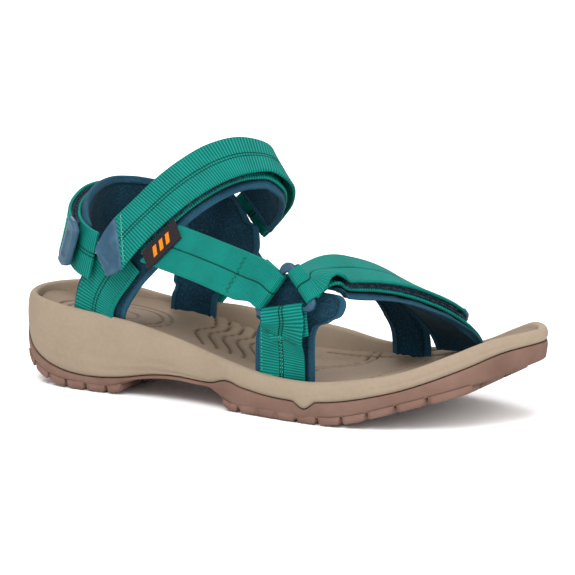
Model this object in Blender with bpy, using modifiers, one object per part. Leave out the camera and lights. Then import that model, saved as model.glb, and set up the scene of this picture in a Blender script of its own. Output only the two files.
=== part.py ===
"""Strappy sport sandal for the right foot.

Design frame, in millimetres: X runs from the heel (0) to the toe, Y is positive on the
medial side, and Z is height above the ground under the flat parts of the tread. FRAME_SHIFT
takes design points to the world frame, whose origin is under the middle of the sandal.
"""

import bmesh
import bpy
import numpy as np
from mathutils import Matrix

MM = 0.001
FRAME_SHIFT = (-129.75, 1.13, 0.0)

# Driving dimensions
FIT_GAP = 0.35
SLOT_GAP = 0.3
SPAN_STEPS = 12
ROW_STEP = 4.5
ROW_TURN = 0.985
WEBBING_WIDTH = 23.0
WEBBING = 1.5
LOOP_PILE = 1.1
HOOK_PILE = 0.9
LINER = 2.6
PAD = 3.2
TAB = 2.8
LABEL = 0.9
LINK_ROD = 2.35

# Half outlines of the sole at its widest level: distance from the heel, lateral, medial
OUTLINE_X = (0, 2, 5, 10, 20, 30, 45, 60, 80, 100, 120, 140, 160, 175, 190, 205, 220, 235,
             245, 252, 257, 259.5)
OUTLINE_LATERAL = (0, -11, -18, -24, -30, -32.5, -34, -34.5, -35, -36.5, -39.5, -43, -46, -47,
                   -46.5, -44, -38, -28.5, -19, -9, 1, 10)
OUTLINE_MEDIAL = (0, 11, 17, 23, 29, 31.5, 32.5, 32, 30, 28, 29, 33.5, 40, 44.5, 47, 47.5, 46,
                  41.5, 35.5, 28, 20, 10)

# Heights along the sole: distance from the heel, height
GROUND = ((0, 17), (3, 13), (10, 8), (18, 4), (28, 1), (38, 0), (60, 0), (70, 3.5), (80, 7.5),
          (95, 9), (105, 9), (116, 5), (126, 0), (178, 0), (190, 2), (205, 6.5), (220, 11),
          (235, 15.5), (248, 20), (260, 25))
FEATHER = ((0, 32), (3, 28), (8, 19), (20, 11.5), (34, 7.5), (50, 6.5), (66, 8), (81, 10.7),
           (93, 11.7), (112, 11.2), (122, 11.8), (131, 11.5), (145, 9.8), (175, 10),
           (186, 11.6), (200, 14.7), (214, 18.6), (222, 21.5), (238, 28.3), (250, 34), (260, 36))
RIM_LATERAL = ((0, 41.5), (16, 40.5), (35, 38.5), (51, 37), (68, 35), (88, 31), (114, 25),
               (145, 19.5), (172, 19), (192, 22), (214, 27), (232, 34.5), (245, 40), (260, 42))
RIM_MEDIAL = ((0, 41.5), (16, 40.5), (37, 38), (57, 35), (78, 35), (96, 36), (115, 34.5),
              (142, 29.5), (168, 22), (186, 20.5), (200, 22), (216, 27), (232, 34.5),
              (245, 40), (260, 42))
FOOTBED_FLOOR = ((0, 36), (20, 32.5), (45, 30.5), (70, 28.5), (100, 23), (130, 16.8),
                 (160, 14.5), (185, 15.5), (205, 19.5), (225, 27), (245, 36), (260, 39.5))
OUTSOLE_WEB = 4.5
OUTSOLE_LIP = 3.0
RIM_WIDTH = 5.0
RIM_DROP = 1.0
FOOTBED_THICKNESS = 4.0
GROOVE_WIDTH = 2.4
GROOVE_DEPTH = 3.2
HEEL_GROOVES = (14, 24, 34.5, 45.5, 57)
FOREFOOT_GROOVES = (131, 141.5, 152, 163, 174, 186, 198, 210.5, 223)
SHANK_PATH = (((68, 0, 9.8), (0, 0, 1)), ((82, 0, 12.2), (0, 0, 1)), ((95, 0, 13.3), (0, 0, 1)),
              ((108, 0, 12.9), (0, 0, 1)), ((118, 0, 11), (0, 0, 1)), ((130, 0, 7.5), (0, 0, 1)))

# Straps: points along the middle of each strap, each with the direction that faces away from
# the foot. The instep and toe paths are for the outermost webbing, the heel path for the inner.
INSTEP_PATH = (((55.5, -39, 58.5), (-0.2, -0.95, 0.15)), ((62, -38, 67), (-0.18, -0.94, 0.28)),
               ((70.3, -34.5, 77.3), (-0.13, -0.87, 0.47)), ((77.5, -27, 86.5), (0, -0.77, 0.64)),
               ((84.5, -19, 95), (0.13, -0.7, 0.7)), ((91.5, -9.5, 102), (0.25, -0.63, 0.73)),
               ((98.5, 0, 107), (0.39, -0.53, 0.75)), ((107, 10.5, 109.5), (0.55, -0.3, 0.78)),
               ((116, 19, 107.5), (0.66, 0.05, 0.75)), ((118.5, 26, 101), (0.7, 0.38, 0.6)),
               ((113.8, 32, 93), (0.55, 0.78, 0.35)), ((107, 36, 86), (0.34, 0.92, 0.2)),
               ((100.7, 38.1, 80), (0.2, 0.97, 0.1)), ((94, 39, 74), (0.1, 1, 0)))
LATERAL_PATH = (((76, -31, 75), (0, -0.84, 0.54)), ((92, -34.2, 72), (0, -0.81, 0.58)),
                ((107, -37, 69.3), (0, -0.78, 0.62)), ((122, -39.9, 66.2), (0, -0.78, 0.62)),
                ((136, -42.8, 63), (-0.04, -0.85, 0.5)))
REAR_LATERAL_PATH = (((48.5, -29.8, 11), (-0.14, -1, 0)), ((48.5, -30, 34), (-0.14, -1, 0)),
                     ((50.5, -30.8, 43), (-0.16, -1, 0)), ((55, -31.7, 51), (-0.15, -1, 0.02)),
                     ((61, -32.3, 58.5), (-0.1, -1, 0.1)), ((67, -32, 66), (0, -0.97, 0.25)))
FRONT_LATERAL_PATH = (((153.5, -39.8, 11), (0, -1, 0)), ((153.5, -40, 20), (0, -1, 0.05)),
                      ((154.3, -42, 31), (0, -1, 0.14)), ((155.8, -45.8, 40), (0, -1, 0.16)))
TOE_PATH = (((166.5, -38, 66.5), (0.2, -0.5, 0.83)), ((174, -24.5, 67.5), (0.38, -0.1, 0.9)),
            ((180, -10, 65), (0.42, 0.1, 0.88)), ((186, 4, 60.5), (0.4, 0.28, 0.86)),
            ((193, 17, 53.5), (0.36, 0.5, 0.78)), ((200, 29.5, 43.5), (0.25, 0.78, 0.55)),
            ((204.5, 40, 32), (0.1, 0.97, 0.2)), ((205.5, 44.5, 24), (0, 1, 0.15)),
            ((206, 45.8, 17.5), (0, 1, 0.05)))
HEEL_PATH = (((66, -37, 62.5), (0, -1, 0.1)), ((55, -35.6, 64), (-0.12, -1, 0.1)),
             ((45, -31.8, 66), (-0.35, -0.93, 0.12)), ((37, -26, 69), (-0.66, -0.72, 0.18)),
             ((32, -18.5, 72), (-0.88, -0.42, 0.24)), ((29.5, -9.5, 75.5), (-0.96, -0.15, 0.25)),
             ((29, 0, 78.5), (-0.97, 0.06, 0.25)), ((30.5, 10, 79.5), (-0.93, 0.3, 0.22)),
             ((36, 20.5, 78.5), (-0.75, 0.63, 0.18)), ((46, 28.5, 77), (-0.4, 0.9, 0.12)),
             ((58, 32.5, 75), (-0.15, 0.98, 0.1)), ((74, 34.8, 71.5), (0, 1, 0.1)))
REAR_MEDIAL_PATH = (((72, 26.3, 11), (0, 1, 0)), ((72, 27, 34), (0, 1, 0)),
                    ((78, 31, 45), (0, 1, -0.1)), ((88, 35, 54.5), (0.05, 1, -0.05)),
                    ((97, 37.3, 62), (0.1, 1, 0)))
FRONT_MEDIAL_PATH = (((180, 40.5, 11), (0, 1, 0)), ((180, 41, 21), (0, 1, 0)),
                     ((179.5, 38.5, 30), (0, 1, 0.25)), ((178.5, 34.5, 37), (0, 0.9, 0.45)))
LABEL_PATH = (((82.9, -40.9, 65.6), (0, -0.82, 0.57)), ((94.4, -30.7, 80.2), (0, -0.82, 0.57)))

# Shaped linings: height, X of the rear edge, X of the front edge, Y
FRONT_LATERAL_LINING = ((11, 138.3, 168.8, -37.4), (20, 138.3, 168.8, -37.6),
                        (31, 138.6, 169.3, -38.5), (38, 138, 170.5, -38.9),
                        (43, 138.5, 174, -39.1), (47.5, 140, 180.5, -39), (50, 141.5, 184, -38.8),
                        (52, 142.7, 184.6, -38.6), (53.6, 144, 181.5, -38.4),
                        (55.2, 145.5, 163.5, -38.1), (60, 149, 158.2, -37.5), (66, 153, 155.5, -36.6))
REAR_MEDIAL_LINING = ((11, 58.8, 84.4, 23.3), (34, 58.8, 84.4, 23.8), (37.5, 58.8, 85, 24.1),
                      (42, 58.9, 90.5, 25.3), (50, 59.8, 98, 27.2), (57, 61.8, 103, 27.8),
                      (62, 64.2, 105.3, 27.7), (68, 65.4, 104.7, 27.5), (74, 66.9, 101.5, 27.3),
                      (80, 68.3, 98.5, 27.1), (86, 71, 94.5, 27), (89, 74.5, 91.5, 27))
FRONT_MEDIAL_LINING = ((11, 170, 190, 37.9), (21, 170, 190, 38.4), (30, 169.8, 189.8, 35.8),
                       (37, 168.5, 187.3, 31.6), (43, 166.5, 183.2, 27.2), (48, 164.5, 178.6, 22.3))

# Three-sided link: middles of its corners, and the corner radius
LINK_TOP = (157, -40.8, 71)
LINK_REAR = (140.5, -46.5, 46.3)
LINK_FRONT = (174.2, -46, 53.4)
LINK_CORNER = 1.6
FOLD_TAIL = 12.0
FOLD_LEAD = 3.0


# ---------------------------------------------------------------- helpers

def unit(rows):
    """Rows of vectors scaled to length one."""
    return rows / np.linalg.norm(rows, axis=-1, keepdims=True)


def spline(rows, per_span, key=None):
    """A smooth curve through the rows with per_span steps between them.

    The rows may be unevenly spaced: the spacing is taken from their first `key` columns.
    """
    rows = np.array(rows, float)
    gap = np.linalg.norm(np.diff(rows[:, :key], axis=0), axis=1)[:, None]
    slope = np.diff(rows, axis=0) / gap
    lean = np.vstack([slope[:1], (slope[:-1] * gap[1:] + slope[1:] * gap[:-1])
                      / (gap[1:] + gap[:-1]), slope[-1:]])
    out = []
    for i in range(len(rows) - 1):
        for f in np.arange(per_span) / per_span:
            out.append((1 + 2 * f) * (1 - f) ** 2 * rows[i] + f * (1 - f) ** 2 * gap[i] * lean[i]
                       + f * f * (3 - 2 * f) * rows[i + 1]
                       + f * f * (f - 1) * gap[i] * lean[i + 1])
    out.append(rows[-1])
    return np.array(out)


class Path:
    """A strap's middle line, with its across and outward directions, by distance along it.

    A station is a point, the direction that faces away from the foot and, where the strap lies
    on a bar or follows another path, the direction of its width.
    """

    def __init__(self, stations):
        rows = spline([(*s[0], *s[1]) for s in stations], SPAN_STEPS, key=3)
        self.points = rows[:, :3]
        steps = np.linalg.norm(np.diff(self.points, axis=0), axis=1)
        self.along = np.concatenate([[0.0], np.cumsum(steps)])
        self.length = float(self.along[-1])
        tangent = unit(np.gradient(self.points, self.along, axis=0))
        widths = unit(np.cross(rows[:, 3:], tangent))[::SPAN_STEPS]
        for k, station in enumerate(stations):
            if len(station) > 2:
                own = np.array(station[2], float)
                widths[k] = own * np.sign(own @ widths[k])
        placed = np.hstack([rows[::SPAN_STEPS, :3], widths])
        self.across = unit(spline(placed, SPAN_STEPS, key=3)[:, 3:])
        self.outward = unit(np.cross(tangent, self.across))

    def pick(self, table, distance):
        return np.array([np.interp(distance, self.along, table[:, k]) for k in range(3)])

    def at(self, distance, sideways=0.0, lift=0.0):
        """The point at this distance, offset sideways and away from the foot."""
        return (self.pick(self.points, distance)
                + unit(self.pick(self.across, distance)) * sideways
                + unit(self.pick(self.outward, distance)) * lift)

    def station(self, distance, lift=0.0):
        """A point with its outward and across directions, to build another path from."""
        return (tuple(self.at(distance, 0.0, lift)), tuple(unit(self.pick(self.outward, distance))),
                tuple(unit(self.pick(self.across, distance))))

    def stops(self, start, end):
        """Shares of the way from start to end: closer together where the path bends."""
        distances = [start]
        facing = unit(self.pick(self.outward, start))
        for distance in np.arange(start + 0.25, end - 0.6, 0.25):
            here = unit(self.pick(self.outward, distance))
            if distance - distances[-1] >= ROW_STEP or here @ facing < ROW_TURN:
                distances.append(distance)
                facing = here
        distances.append(end)
        return [(d - start) / (end - start) for d in distances]


def link_object(name, mesh, collection):
    thing = bpy.data.objects.new(name, mesh)
    collection.objects.link(thing)
    return thing


def new_mesh(name, points, faces):
    mesh = bpy.data.meshes.new(name)
    placed = (np.array(points, float) + np.array(FRAME_SHIFT)) * MM
    mesh.from_pydata([tuple(p) for p in placed], [], faces)
    mesh.update()
    return mesh


def face_outward(mesh):
    shape = bmesh.new()
    shape.from_mesh(mesh)
    bmesh.ops.recalc_face_normals(shape, faces=shape.faces)
    shape.to_mesh(mesh)
    shape.free()


def spread(values, u):
    """A value from equally spaced ones, at the share u of the way along."""
    return float(np.interp(u, np.linspace(0, 1, len(values)), values))


def strap(name, path, start, end, lift=0.0, thickness=WEBBING, width=WEBBING_WIDTH,
          skew=(0.0, 0.0), profile=(1.0, 1.0), sideways=0.0, overrun=0.0, rows=None,
          collection=None):
    """A flat strap along part of a path: an open surface, thickened both ways.

    lift and sideways may be one number or equally spaced ones from start to end, and profile
    scales the width in the same way. skew moves the v=+1 edge's ends along the path. overrun
    makes a cutter a little longer than what it makes room for. rows are the shares of the way
    at which the surface has points, where they aren't left to the path's bends.
    """
    lifts = lift if isinstance(lift, tuple) else (lift, lift)
    shifts = sideways if isinstance(sideways, tuple) else (sideways, sideways)
    rows = path.stops(start, end) if rows is None else rows
    columns = 2
    points = []
    for u in rows:
        for j in range(columns + 1):
            v = 2.0 * j / columns - 1.0
            distance = start + (end - start) * u + v * (skew[0] * (1 - u) + skew[1] * u)
            side_way = spread(shifts, u) + v * spread(profile, u) * width / 2
            points.append(path.at(distance, side_way, spread(lifts, u)))
    if overrun:
        for row, along in ((0, -1), (len(rows) - 1, 1)):
            for j in range(columns + 1):
                k = row * (columns + 1) + j
                away = points[k] - points[k - along * (columns + 1)]
                points[k] = points[k] + unit(away) * overrun
    faces = []
    for i in range(len(rows) - 1):
        for j in range(columns):
            k = i * (columns + 1) + j
            faces.append((k, k + 1, k + columns + 2, k + columns + 1))
    thing = link_object(name, new_mesh(name, points, faces), collection or sandal)
    thicken = thing.modifiers.new("thickness", "SOLIDIFY")
    thicken.thickness = thickness * MM
    thicken.offset = 0.0
    thicken.use_even_offset = True
    return thing


def panel(name, table, facing):
    """A shaped lining, level from its rear edge to its front edge at each height."""
    path = Path([(((rear + front) / 2, y, z), (0, facing, 0), (1, 0, 0))
                 for z, rear, front, y in table])
    knots = path.along[::SPAN_STEPS] / path.length
    widths = [front - rear for z, rear, front, y in table]
    widest = max(widths)
    profile = np.interp(np.linspace(0, 1, 121), knots, widths) / widest
    return strap(name, path, 0, path.length, thickness=LINER, width=widest,
                 profile=tuple(profile), rows=tuple(knots))


def inward(layers):
    """Lifts for the middles of stacked layers, the outermost at 0 and the rest inside it."""
    lifts = [0.0]
    for outer, inner in zip(layers, layers[1:]):
        lifts.append(lifts[-1] - (outer + inner) / 2 - FIT_GAP)
    return lifts


def height(table, x):
    xs, zs = zip(*table)
    return float(np.interp(x, xs, zs))


def outline_points():
    """The sole's outline as a closed loop, with its outward normals."""
    lateral = list(zip(OUTLINE_X, OUTLINE_LATERAL))
    medial = list(zip(OUTLINE_X, OUTLINE_MEDIAL))
    corners = medial + lateral[-2:0:-1]
    wrapped = corners[-2:] + corners + corners[:2]
    loop = spline(wrapped, 2)[4:-3]
    along = np.roll(loop, -1, axis=0) - np.roll(loop, 1, axis=0)
    return loop, unit(np.stack([-along[:, 1], along[:, 0]], axis=1))


def rim_height(x, y):
    low, high = height(RIM_LATERAL, x), height(RIM_MEDIAL, x)
    return low + (high - low) * min(max((y + 35.0) / 70.0, 0.0), 1.0)


def sole_ring(inset, level):
    """One ring of the sole: the outline moved inward, with its height from level(x, y)."""
    loop, normal = outline_points()
    moved = loop - normal * inset
    return [(x, y, level(x, y)) for x, y in moved]


def rings_solid(name, rings, collection=None):
    """A closed body through rings of equal counts, its two ends filled across the sole."""
    count = len(rings[0])
    points = [p for ring in rings for p in ring]
    faces = []
    for r in range(len(rings) - 1):
        for i in range(count):
            j = (i + 1) % count
            faces.append((r * count + i, r * count + j, (r + 1) * count + j,
                          (r + 1) * count + i))
    for base in (0, (len(rings) - 1) * count):
        half = count // 2
        faces.append((base, base + 1, base + count - 1))
        for i in range(1, half - 1):
            faces.append((base + i, base + i + 1, base + count - i - 1, base + count - i))
        faces.append((base + half - 1, base + half, base + half + 1))
    mesh = new_mesh(name, points, faces)
    face_outward(mesh)
    return link_object(name, mesh, collection or sandal)


def box(name, low, high, collection):
    """A block between two corners, in the design frame."""
    points = [(x, y, z) for x in (low[0], high[0]) for y in (low[1], high[1])
              for z in (low[2], high[2])]
    faces = [(0, 1, 3, 2), (4, 6, 7, 5), (0, 4, 5, 1), (2, 3, 7, 6), (0, 2, 6, 4), (1, 5, 7, 3)]
    mesh = new_mesh(name, points, faces)
    face_outward(mesh)
    return link_object(name, mesh, collection)


def cut(thing, cutter):
    cutter.display_type = "WIRE"
    cutter.hide_render = True
    trim = thing.modifiers.new("cut " + cutter.name, "BOOLEAN")
    trim.operation = "DIFFERENCE"
    trim.solver = "EXACT"
    trim.object = cutter


def paint(thing, colour, roughness, metallic=0.0):
    material = bpy.data.materials.new(thing.name + "_material")
    material.use_nodes = True
    shader = material.node_tree.nodes["Principled BSDF"]
    shader.inputs["Base Color"].default_value = (*colour, 1.0)
    shader.inputs["Roughness"].default_value = roughness
    shader.inputs["Metallic"].default_value = metallic
    thing.data.materials.append(material)


# ---------------------------------------------------------------- scene

for old in list(bpy.data.objects):
    bpy.data.objects.remove(old, do_unlink=True)
sandal = bpy.data.collections.new("sport_sandal")
cutters = bpy.data.collections.new("cutters")
bpy.context.scene.collection.children.link(sandal)
bpy.context.scene.collection.children.link(cutters)

INK = (0.016, 0.042, 0.075)
GREEN = (0.006, 0.235, 0.165)
BLUE = (0.06, 0.13, 0.22)
TAN = (0.46, 0.36, 0.25)
SHADE_TAN = (0.4, 0.31, 0.22)
BROWN = (0.26, 0.14, 0.11)
CHARCOAL = (0.03, 0.025, 0.03)


# ---------------------------------------------------------------- sole

def ground(x, y):
    return height(GROUND, x)


def feather(x, y):
    return height(FEATHER, x)


def web_top(x, y):
    """The top of the outsole inside its raised lip."""
    return min(feather(x, y), ground(x, y) + OUTSOLE_WEB)


def seam(x):
    """The upright gap that keeps FIT_GAP between surfaces where the feather line is steep."""
    slope = feather(x + 1, 0) - feather(x - 1, 0)
    return FIT_GAP * np.hypot(1.0, 0.9 * slope)


def side(share):
    """A level between the feather line and the rim."""
    return lambda x, y: feather(x, y) + seam(x) + share * (
        rim_height(x, y) - feather(x, y) - seam(x))


def footbed_top(x, y):
    return height(FOOTBED_FLOOR, x)


def footbed_edge(x, y):
    return min(footbed_top(x, y) + 3.0, rim_height(x, y) - RIM_DROP)


def moved(level, rise):
    return lambda x, y: level(x, y) + rise


outsole = rings_solid("outsole", [
    sole_ring(4.0, ground),
    sole_ring(1.6, moved(ground, 0.8)),
    sole_ring(0.6, lambda x, y: 0.5 * (ground(x, y) + feather(x, y))),
    sole_ring(0.6, moved(feather, -0.4)),
    sole_ring(1.2, feather),
    sole_ring(OUTSOLE_LIP, feather),
    sole_ring(OUTSOLE_LIP + 0.4, web_top),
])

midsole = rings_solid("midsole", [
    sole_ring(OUTSOLE_LIP + 0.4 + FIT_GAP, lambda x, y: web_top(x, y) + seam(x)),
    sole_ring(OUTSOLE_LIP + FIT_GAP, side(0.0)),
    sole_ring(1.2, side(0.0)),
    sole_ring(0.5, side(0.1)),
    sole_ring(0.0, side(0.45)),
    sole_ring(0.8, side(0.85)),
    sole_ring(2.0, side(1.0)),
    sole_ring(RIM_WIDTH, moved(rim_height, -RIM_DROP)),
    sole_ring(RIM_WIDTH + 0.4, moved(footbed_edge, -FOOTBED_THICKNESS - FIT_GAP)),
    sole_ring(12.0, moved(footbed_top, -FOOTBED_THICKNESS - FIT_GAP)),
])

footbed = rings_solid("footbed", [
    sole_ring(12.0, moved(footbed_top, -FOOTBED_THICKNESS)),
    sole_ring(RIM_WIDTH + 0.4 + FIT_GAP, moved(footbed_edge, -FOOTBED_THICKNESS)),
    sole_ring(RIM_WIDTH + FIT_GAP, moved(footbed_edge, -0.8)),
    sole_ring(RIM_WIDTH + 1.1, footbed_edge),
    sole_ring(12.0, footbed_top),
])

for number, x in enumerate(HEEL_GROOVES + FOREFOOT_GROOVES, start=1):
    top = height(GROUND, x) + GROOVE_DEPTH
    cut(outsole, box(f"tread_groove_{number}", (x - GROOVE_WIDTH / 2, -60, top - 15),
                     (x + GROOVE_WIDTH / 2, 60, top), cutters))

shank_path = Path(SHANK_PATH)
shank = strap("shank", shank_path, 0, shank_path.length, thickness=1.6, width=18)
cut(midsole, strap("shank_pocket", shank_path, 0, shank_path.length, lift=-3.0,
                   thickness=8.2, width=18.8, collection=cutters, overrun=SLOT_GAP))

shock_path = Path([((x, 0, height(FOOTBED_FLOOR, x) - FOOTBED_THICKNESS - FIT_GAP - 1.5),
                    (0, 0, 1)) for x in (22, 34, 46, 58)])
OVAL = (0.55, 0.9, 1.0, 0.9, 0.55)
shock_pad = strap("heel_shock_pad", shock_path, 0, shock_path.length, thickness=3.0, width=32,
                  profile=OVAL)
cut(midsole, strap("shock_pocket", shock_path, 0, shock_path.length, lift=2.0, thickness=7.8,
                   width=33, profile=OVAL, collection=cutters, overrun=SLOT_GAP))


# ---------------------------------------------------------------- link

def bar_fold(low, high, outward):
    """Stations round one bar of the link, from outside it to inside it."""
    low, high = np.array(low, float), np.array(high, float)
    middle = (low + high) / 2
    along = unit(high - low)
    facing = np.array(outward, float)
    facing = unit(facing - along * (facing @ along))
    through = unit(np.cross(facing, along))
    if through @ (LINK_MIDDLE - middle) < 0:
        through = -through
    radius = (LINK_ROD + WEBBING) / 2 + FIT_GAP
    turn = [(tuple(middle + facing * radius - through * FOLD_LEAD), tuple(facing), tuple(along))]
    for angle in np.radians((0, 30, 60, 90, 120, 150, 180)):
        here = facing * np.cos(angle) + through * np.sin(angle)
        turn.append((tuple(middle + here * radius), tuple(here), tuple(along)))
    return turn, through


def tail(turn, through):
    """A fold's stations, carried on as a sewn-down tail inside the strap."""
    place, facing, along = turn[-1]
    return turn + [(tuple(np.array(place) - through * FOLD_TAIL * share), facing, along)
                   for share in (0.4, 1.0)]


def rounded_triangle(corners, radius):
    """Points round a triangle whose corners are arcs."""
    corners = [np.array(c, float) for c in corners]
    points = []
    for i, corner in enumerate(corners):
        back, forth = unit(corners[i - 1] - corner), unit(corners[(i + 1) % 3] - corner)
        half = np.arccos(back @ forth) / 2
        reach = radius / np.tan(half)
        centre = corner + unit(back + forth) * radius / np.sin(half)
        start, stop = corner + back * reach - centre, corner + forth * reach - centre
        for share in np.linspace(0, 1, 6):
            points.append(centre + unit(start * (1 - share) + stop * share) * radius)
    return points


LINK_MIDDLE = (np.array(LINK_TOP) + np.array(LINK_REAR) + np.array(LINK_FRONT)) / 3.0
ring = bpy.data.curves.new("link_wire", "CURVE")
ring.dimensions = "3D"
ring.bevel_depth = LINK_ROD / 2 * MM
ring.bevel_resolution = 2
wire = ring.splines.new("POLY")
wire_points = rounded_triangle((LINK_TOP, LINK_REAR, LINK_FRONT), LINK_CORNER)
wire.points.add(len(wire_points) - 1)
for knot, place in zip(wire.points, wire_points):
    knot.co = (*((place + np.array(FRAME_SHIFT)) * MM), 1.0)
wire.use_cyclic_u = True
wire_thing = link_object("link_wire", ring, cutters)
bpy.context.view_layer.update()
ring_mesh = bpy.data.meshes.new_from_object(
    wire_thing.evaluated_get(bpy.context.evaluated_depsgraph_get()))
bpy.data.objects.remove(wire_thing)
face_outward(ring_mesh)
link_object("strap_link", ring_mesh, sandal)


# ---------------------------------------------------------------- strap anchors in the sole

def slot(name, path, start, end, outer, inner, width, sideways=0.0):
    """Room for a strap and its lining where they go down into the sole."""
    for body, tag in ((midsole, "midsole"), (footbed, "footbed")):
        cut(body, strap(f"{name}_slot_{tag}", path, start, end, lift=(outer + inner) / 2,
                        thickness=outer - inner + 2 * SLOT_GAP, width=width + 2 * SLOT_GAP,
                        sideways=sideways, collection=cutters, overrun=SLOT_GAP))


LINING_LIFT = inward((WEBBING, LINER))[1] - 0.2
LINING_INNER = LINING_LIFT - LINER / 2


def anchor(name, path, slot_end, slot_width, width=WEBBING_WIDTH, sideways=0.0,
           profile=(1.0, 1.0)):
    """Webbing that is let into the sole as far up as slot_end, with room for its lining."""
    strap(name + "_webbing", path, 0, path.length, width=width, profile=profile)
    slot(name, path, 0, slot_end, WEBBING / 2, LINING_INNER - 0.5, slot_width, sideways)


REAR_LINING_WIDTH = 32.0
REAR_LINING_SHIFT = -1.4
rear_lateral = Path(REAR_LATERAL_PATH)
anchor("rear_lateral", rear_lateral, 32, REAR_LINING_WIDTH, sideways=REAR_LINING_SHIFT)
beside = Path([rear_lateral.station(d, LINING_LIFT) for d in (0, 10, 23, 32, 42, 52)]
              + [((76, -27.8, 73), (0, -0.85, 0.5))])
strap("rear_lateral_lining", beside, 0.5, beside.length, thickness=LINER,
      width=REAR_LINING_WIDTH, sideways=REAR_LINING_SHIFT, profile=(1, 1, 1, 0.95, 0.9, 0.9))

turn, through = bar_fold(LINK_REAR, LINK_FRONT, (0.0, -1.0, 0.12))
front_lateral = Path(list(FRONT_LATERAL_PATH) + tail(turn, through))
anchor("front_lateral", front_lateral, 16, 31.0,
       profile=(1, 1, 1, 1, 0.95, 0.88, 0.86, 0.86, 0.86))
panel("front_lateral_lining", FRONT_LATERAL_LINING, -1)

rear_medial = Path(REAR_MEDIAL_PATH)
anchor("rear_medial", rear_medial, 32, 28.0)
panel("rear_medial_lining", REAR_MEDIAL_LINING, 1)

front_medial = Path(FRONT_MEDIAL_PATH)
anchor("front_medial", front_medial, 22, 20.0, width=17.0)
panel("front_medial_lining", FRONT_MEDIAL_LINING, 1)


# ---------------------------------------------------------------- lateral and toe straps

turn, through = bar_fold(LINK_REAR, LINK_TOP, (-0.05, -0.9, 0.35))
lateral = Path(list(LATERAL_PATH) + tail(turn, through))
LATERAL_START = 10.5
strap("lateral_webbing", lateral, LATERAL_START, lateral.length, skew=(5, 0),
      profile=(1, 1, 1, 1, 1, 0.95, 0.72, 0.7, 0.7))
label = Path(LABEL_PATH)
strap("side_label", label, 0, label.length, width=10.1, thickness=LABEL, skew=(1.87, 1.87))

turn, through = bar_fold(LINK_FRONT, LINK_TOP, (0.15, -0.7, 0.7))
toe = Path([turn[1], turn[0]] + list(TOE_PATH))
FLAP, HOOK, LOOP, BASE = inward((WEBBING, HOOK_PILE, LOOP_PILE, WEBBING))
TOE_LINING = BASE + LINING_LIFT - 0.5
TOE_HINGE = FOLD_LEAD + 2.0
TOE_END = toe.length - 30.0
toe_base = Path(turn + [toe.station(d, BASE - 0.15) for d in (FOLD_LEAD + 0.5, 8.0, 14.0)]
                + [toe.station(d, BASE) for d in np.arange(21.0, toe.length - 5.0, 9.0)]
                + [toe.station(toe.length, BASE)])
NARROW_AT_LINK = (0.57, 0.85, 1, 1, 1, 1, 1)
toe_flap = [
    strap("toe_flap", toe, TOE_HINGE, TOE_END, profile=NARROW_AT_LINK),
    strap("toe_hook_patch", toe, TOE_HINGE + 19, TOE_END - 2, lift=HOOK, thickness=HOOK_PILE,
          width=WEBBING_WIDTH - 2),
    strap("toe_tab", toe, TOE_END + FIT_GAP, TOE_END + 10, thickness=TAB,
          profile=(1.0, 0.85, 0.5)),
]
strap("toe_loop_patch", toe, TOE_HINGE + 18, TOE_END + 4, lift=LOOP, thickness=LOOP_PILE,
      width=WEBBING_WIDTH - 2)
strap("toe_base_webbing", toe_base, 0, toe_base.length,
      profile=(0.57, 0.57, 0.8, 1, 1, 1, 1, 1, 1, 1, 1, 1))
strap("toe_lining", toe, 14, toe.length - 0.5, lift=TOE_LINING, thickness=LINER, width=27.0,
      sideways=-1.0, profile=(0.8, 1, 1, 1, 1, 1))
slot("toe", toe, toe.length - 15, toe.length, BASE + WEBBING / 2, TOE_LINING - LINER / 2, 27.0,
     -1.0)


# ---------------------------------------------------------------- instep strap

instep = Path(INSTEP_PATH)
INSTEP_PAD_LIFT = BASE - (WEBBING + PAD) / 2 - FIT_GAP - 0.3
INSTEP_HINGE = 96.0
INSTEP_END = 19.0
END_SKEW = 7.0
instep_flap = [
    strap("instep_flap", instep, INSTEP_END, INSTEP_HINGE - FIT_GAP, skew=(END_SKEW, 0)),
    strap("instep_hook_patch", instep, INSTEP_END + 9, INSTEP_HINGE - 12, lift=HOOK,
          thickness=HOOK_PILE, width=WEBBING_WIDTH - 2, skew=(END_SKEW, 0)),
    strap("instep_tab", instep, INSTEP_END - 14.5, INSTEP_END - FIT_GAP, thickness=TAB,
          skew=(2.0, END_SKEW), profile=(0.5, 0.85, 1.0)),
]
strap("instep_strap", instep, INSTEP_HINGE, instep.length)
strap("instep_loop_patch", instep, INSTEP_END + 12, INSTEP_HINGE - 6, lift=LOOP,
      thickness=LOOP_PILE, width=WEBBING_WIDTH - 2, skew=(END_SKEW, 0))
strap("instep_base_webbing", instep, INSTEP_END + 9, instep.length - 3, lift=BASE,
      skew=(END_SKEW, 0))
strap("instep_pad", instep, INSTEP_END + 22, instep.length - 11, lift=INSTEP_PAD_LIFT,
      thickness=PAD, width=29.0, skew=(END_SKEW, 0))


# ---------------------------------------------------------------- heel strap

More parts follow.
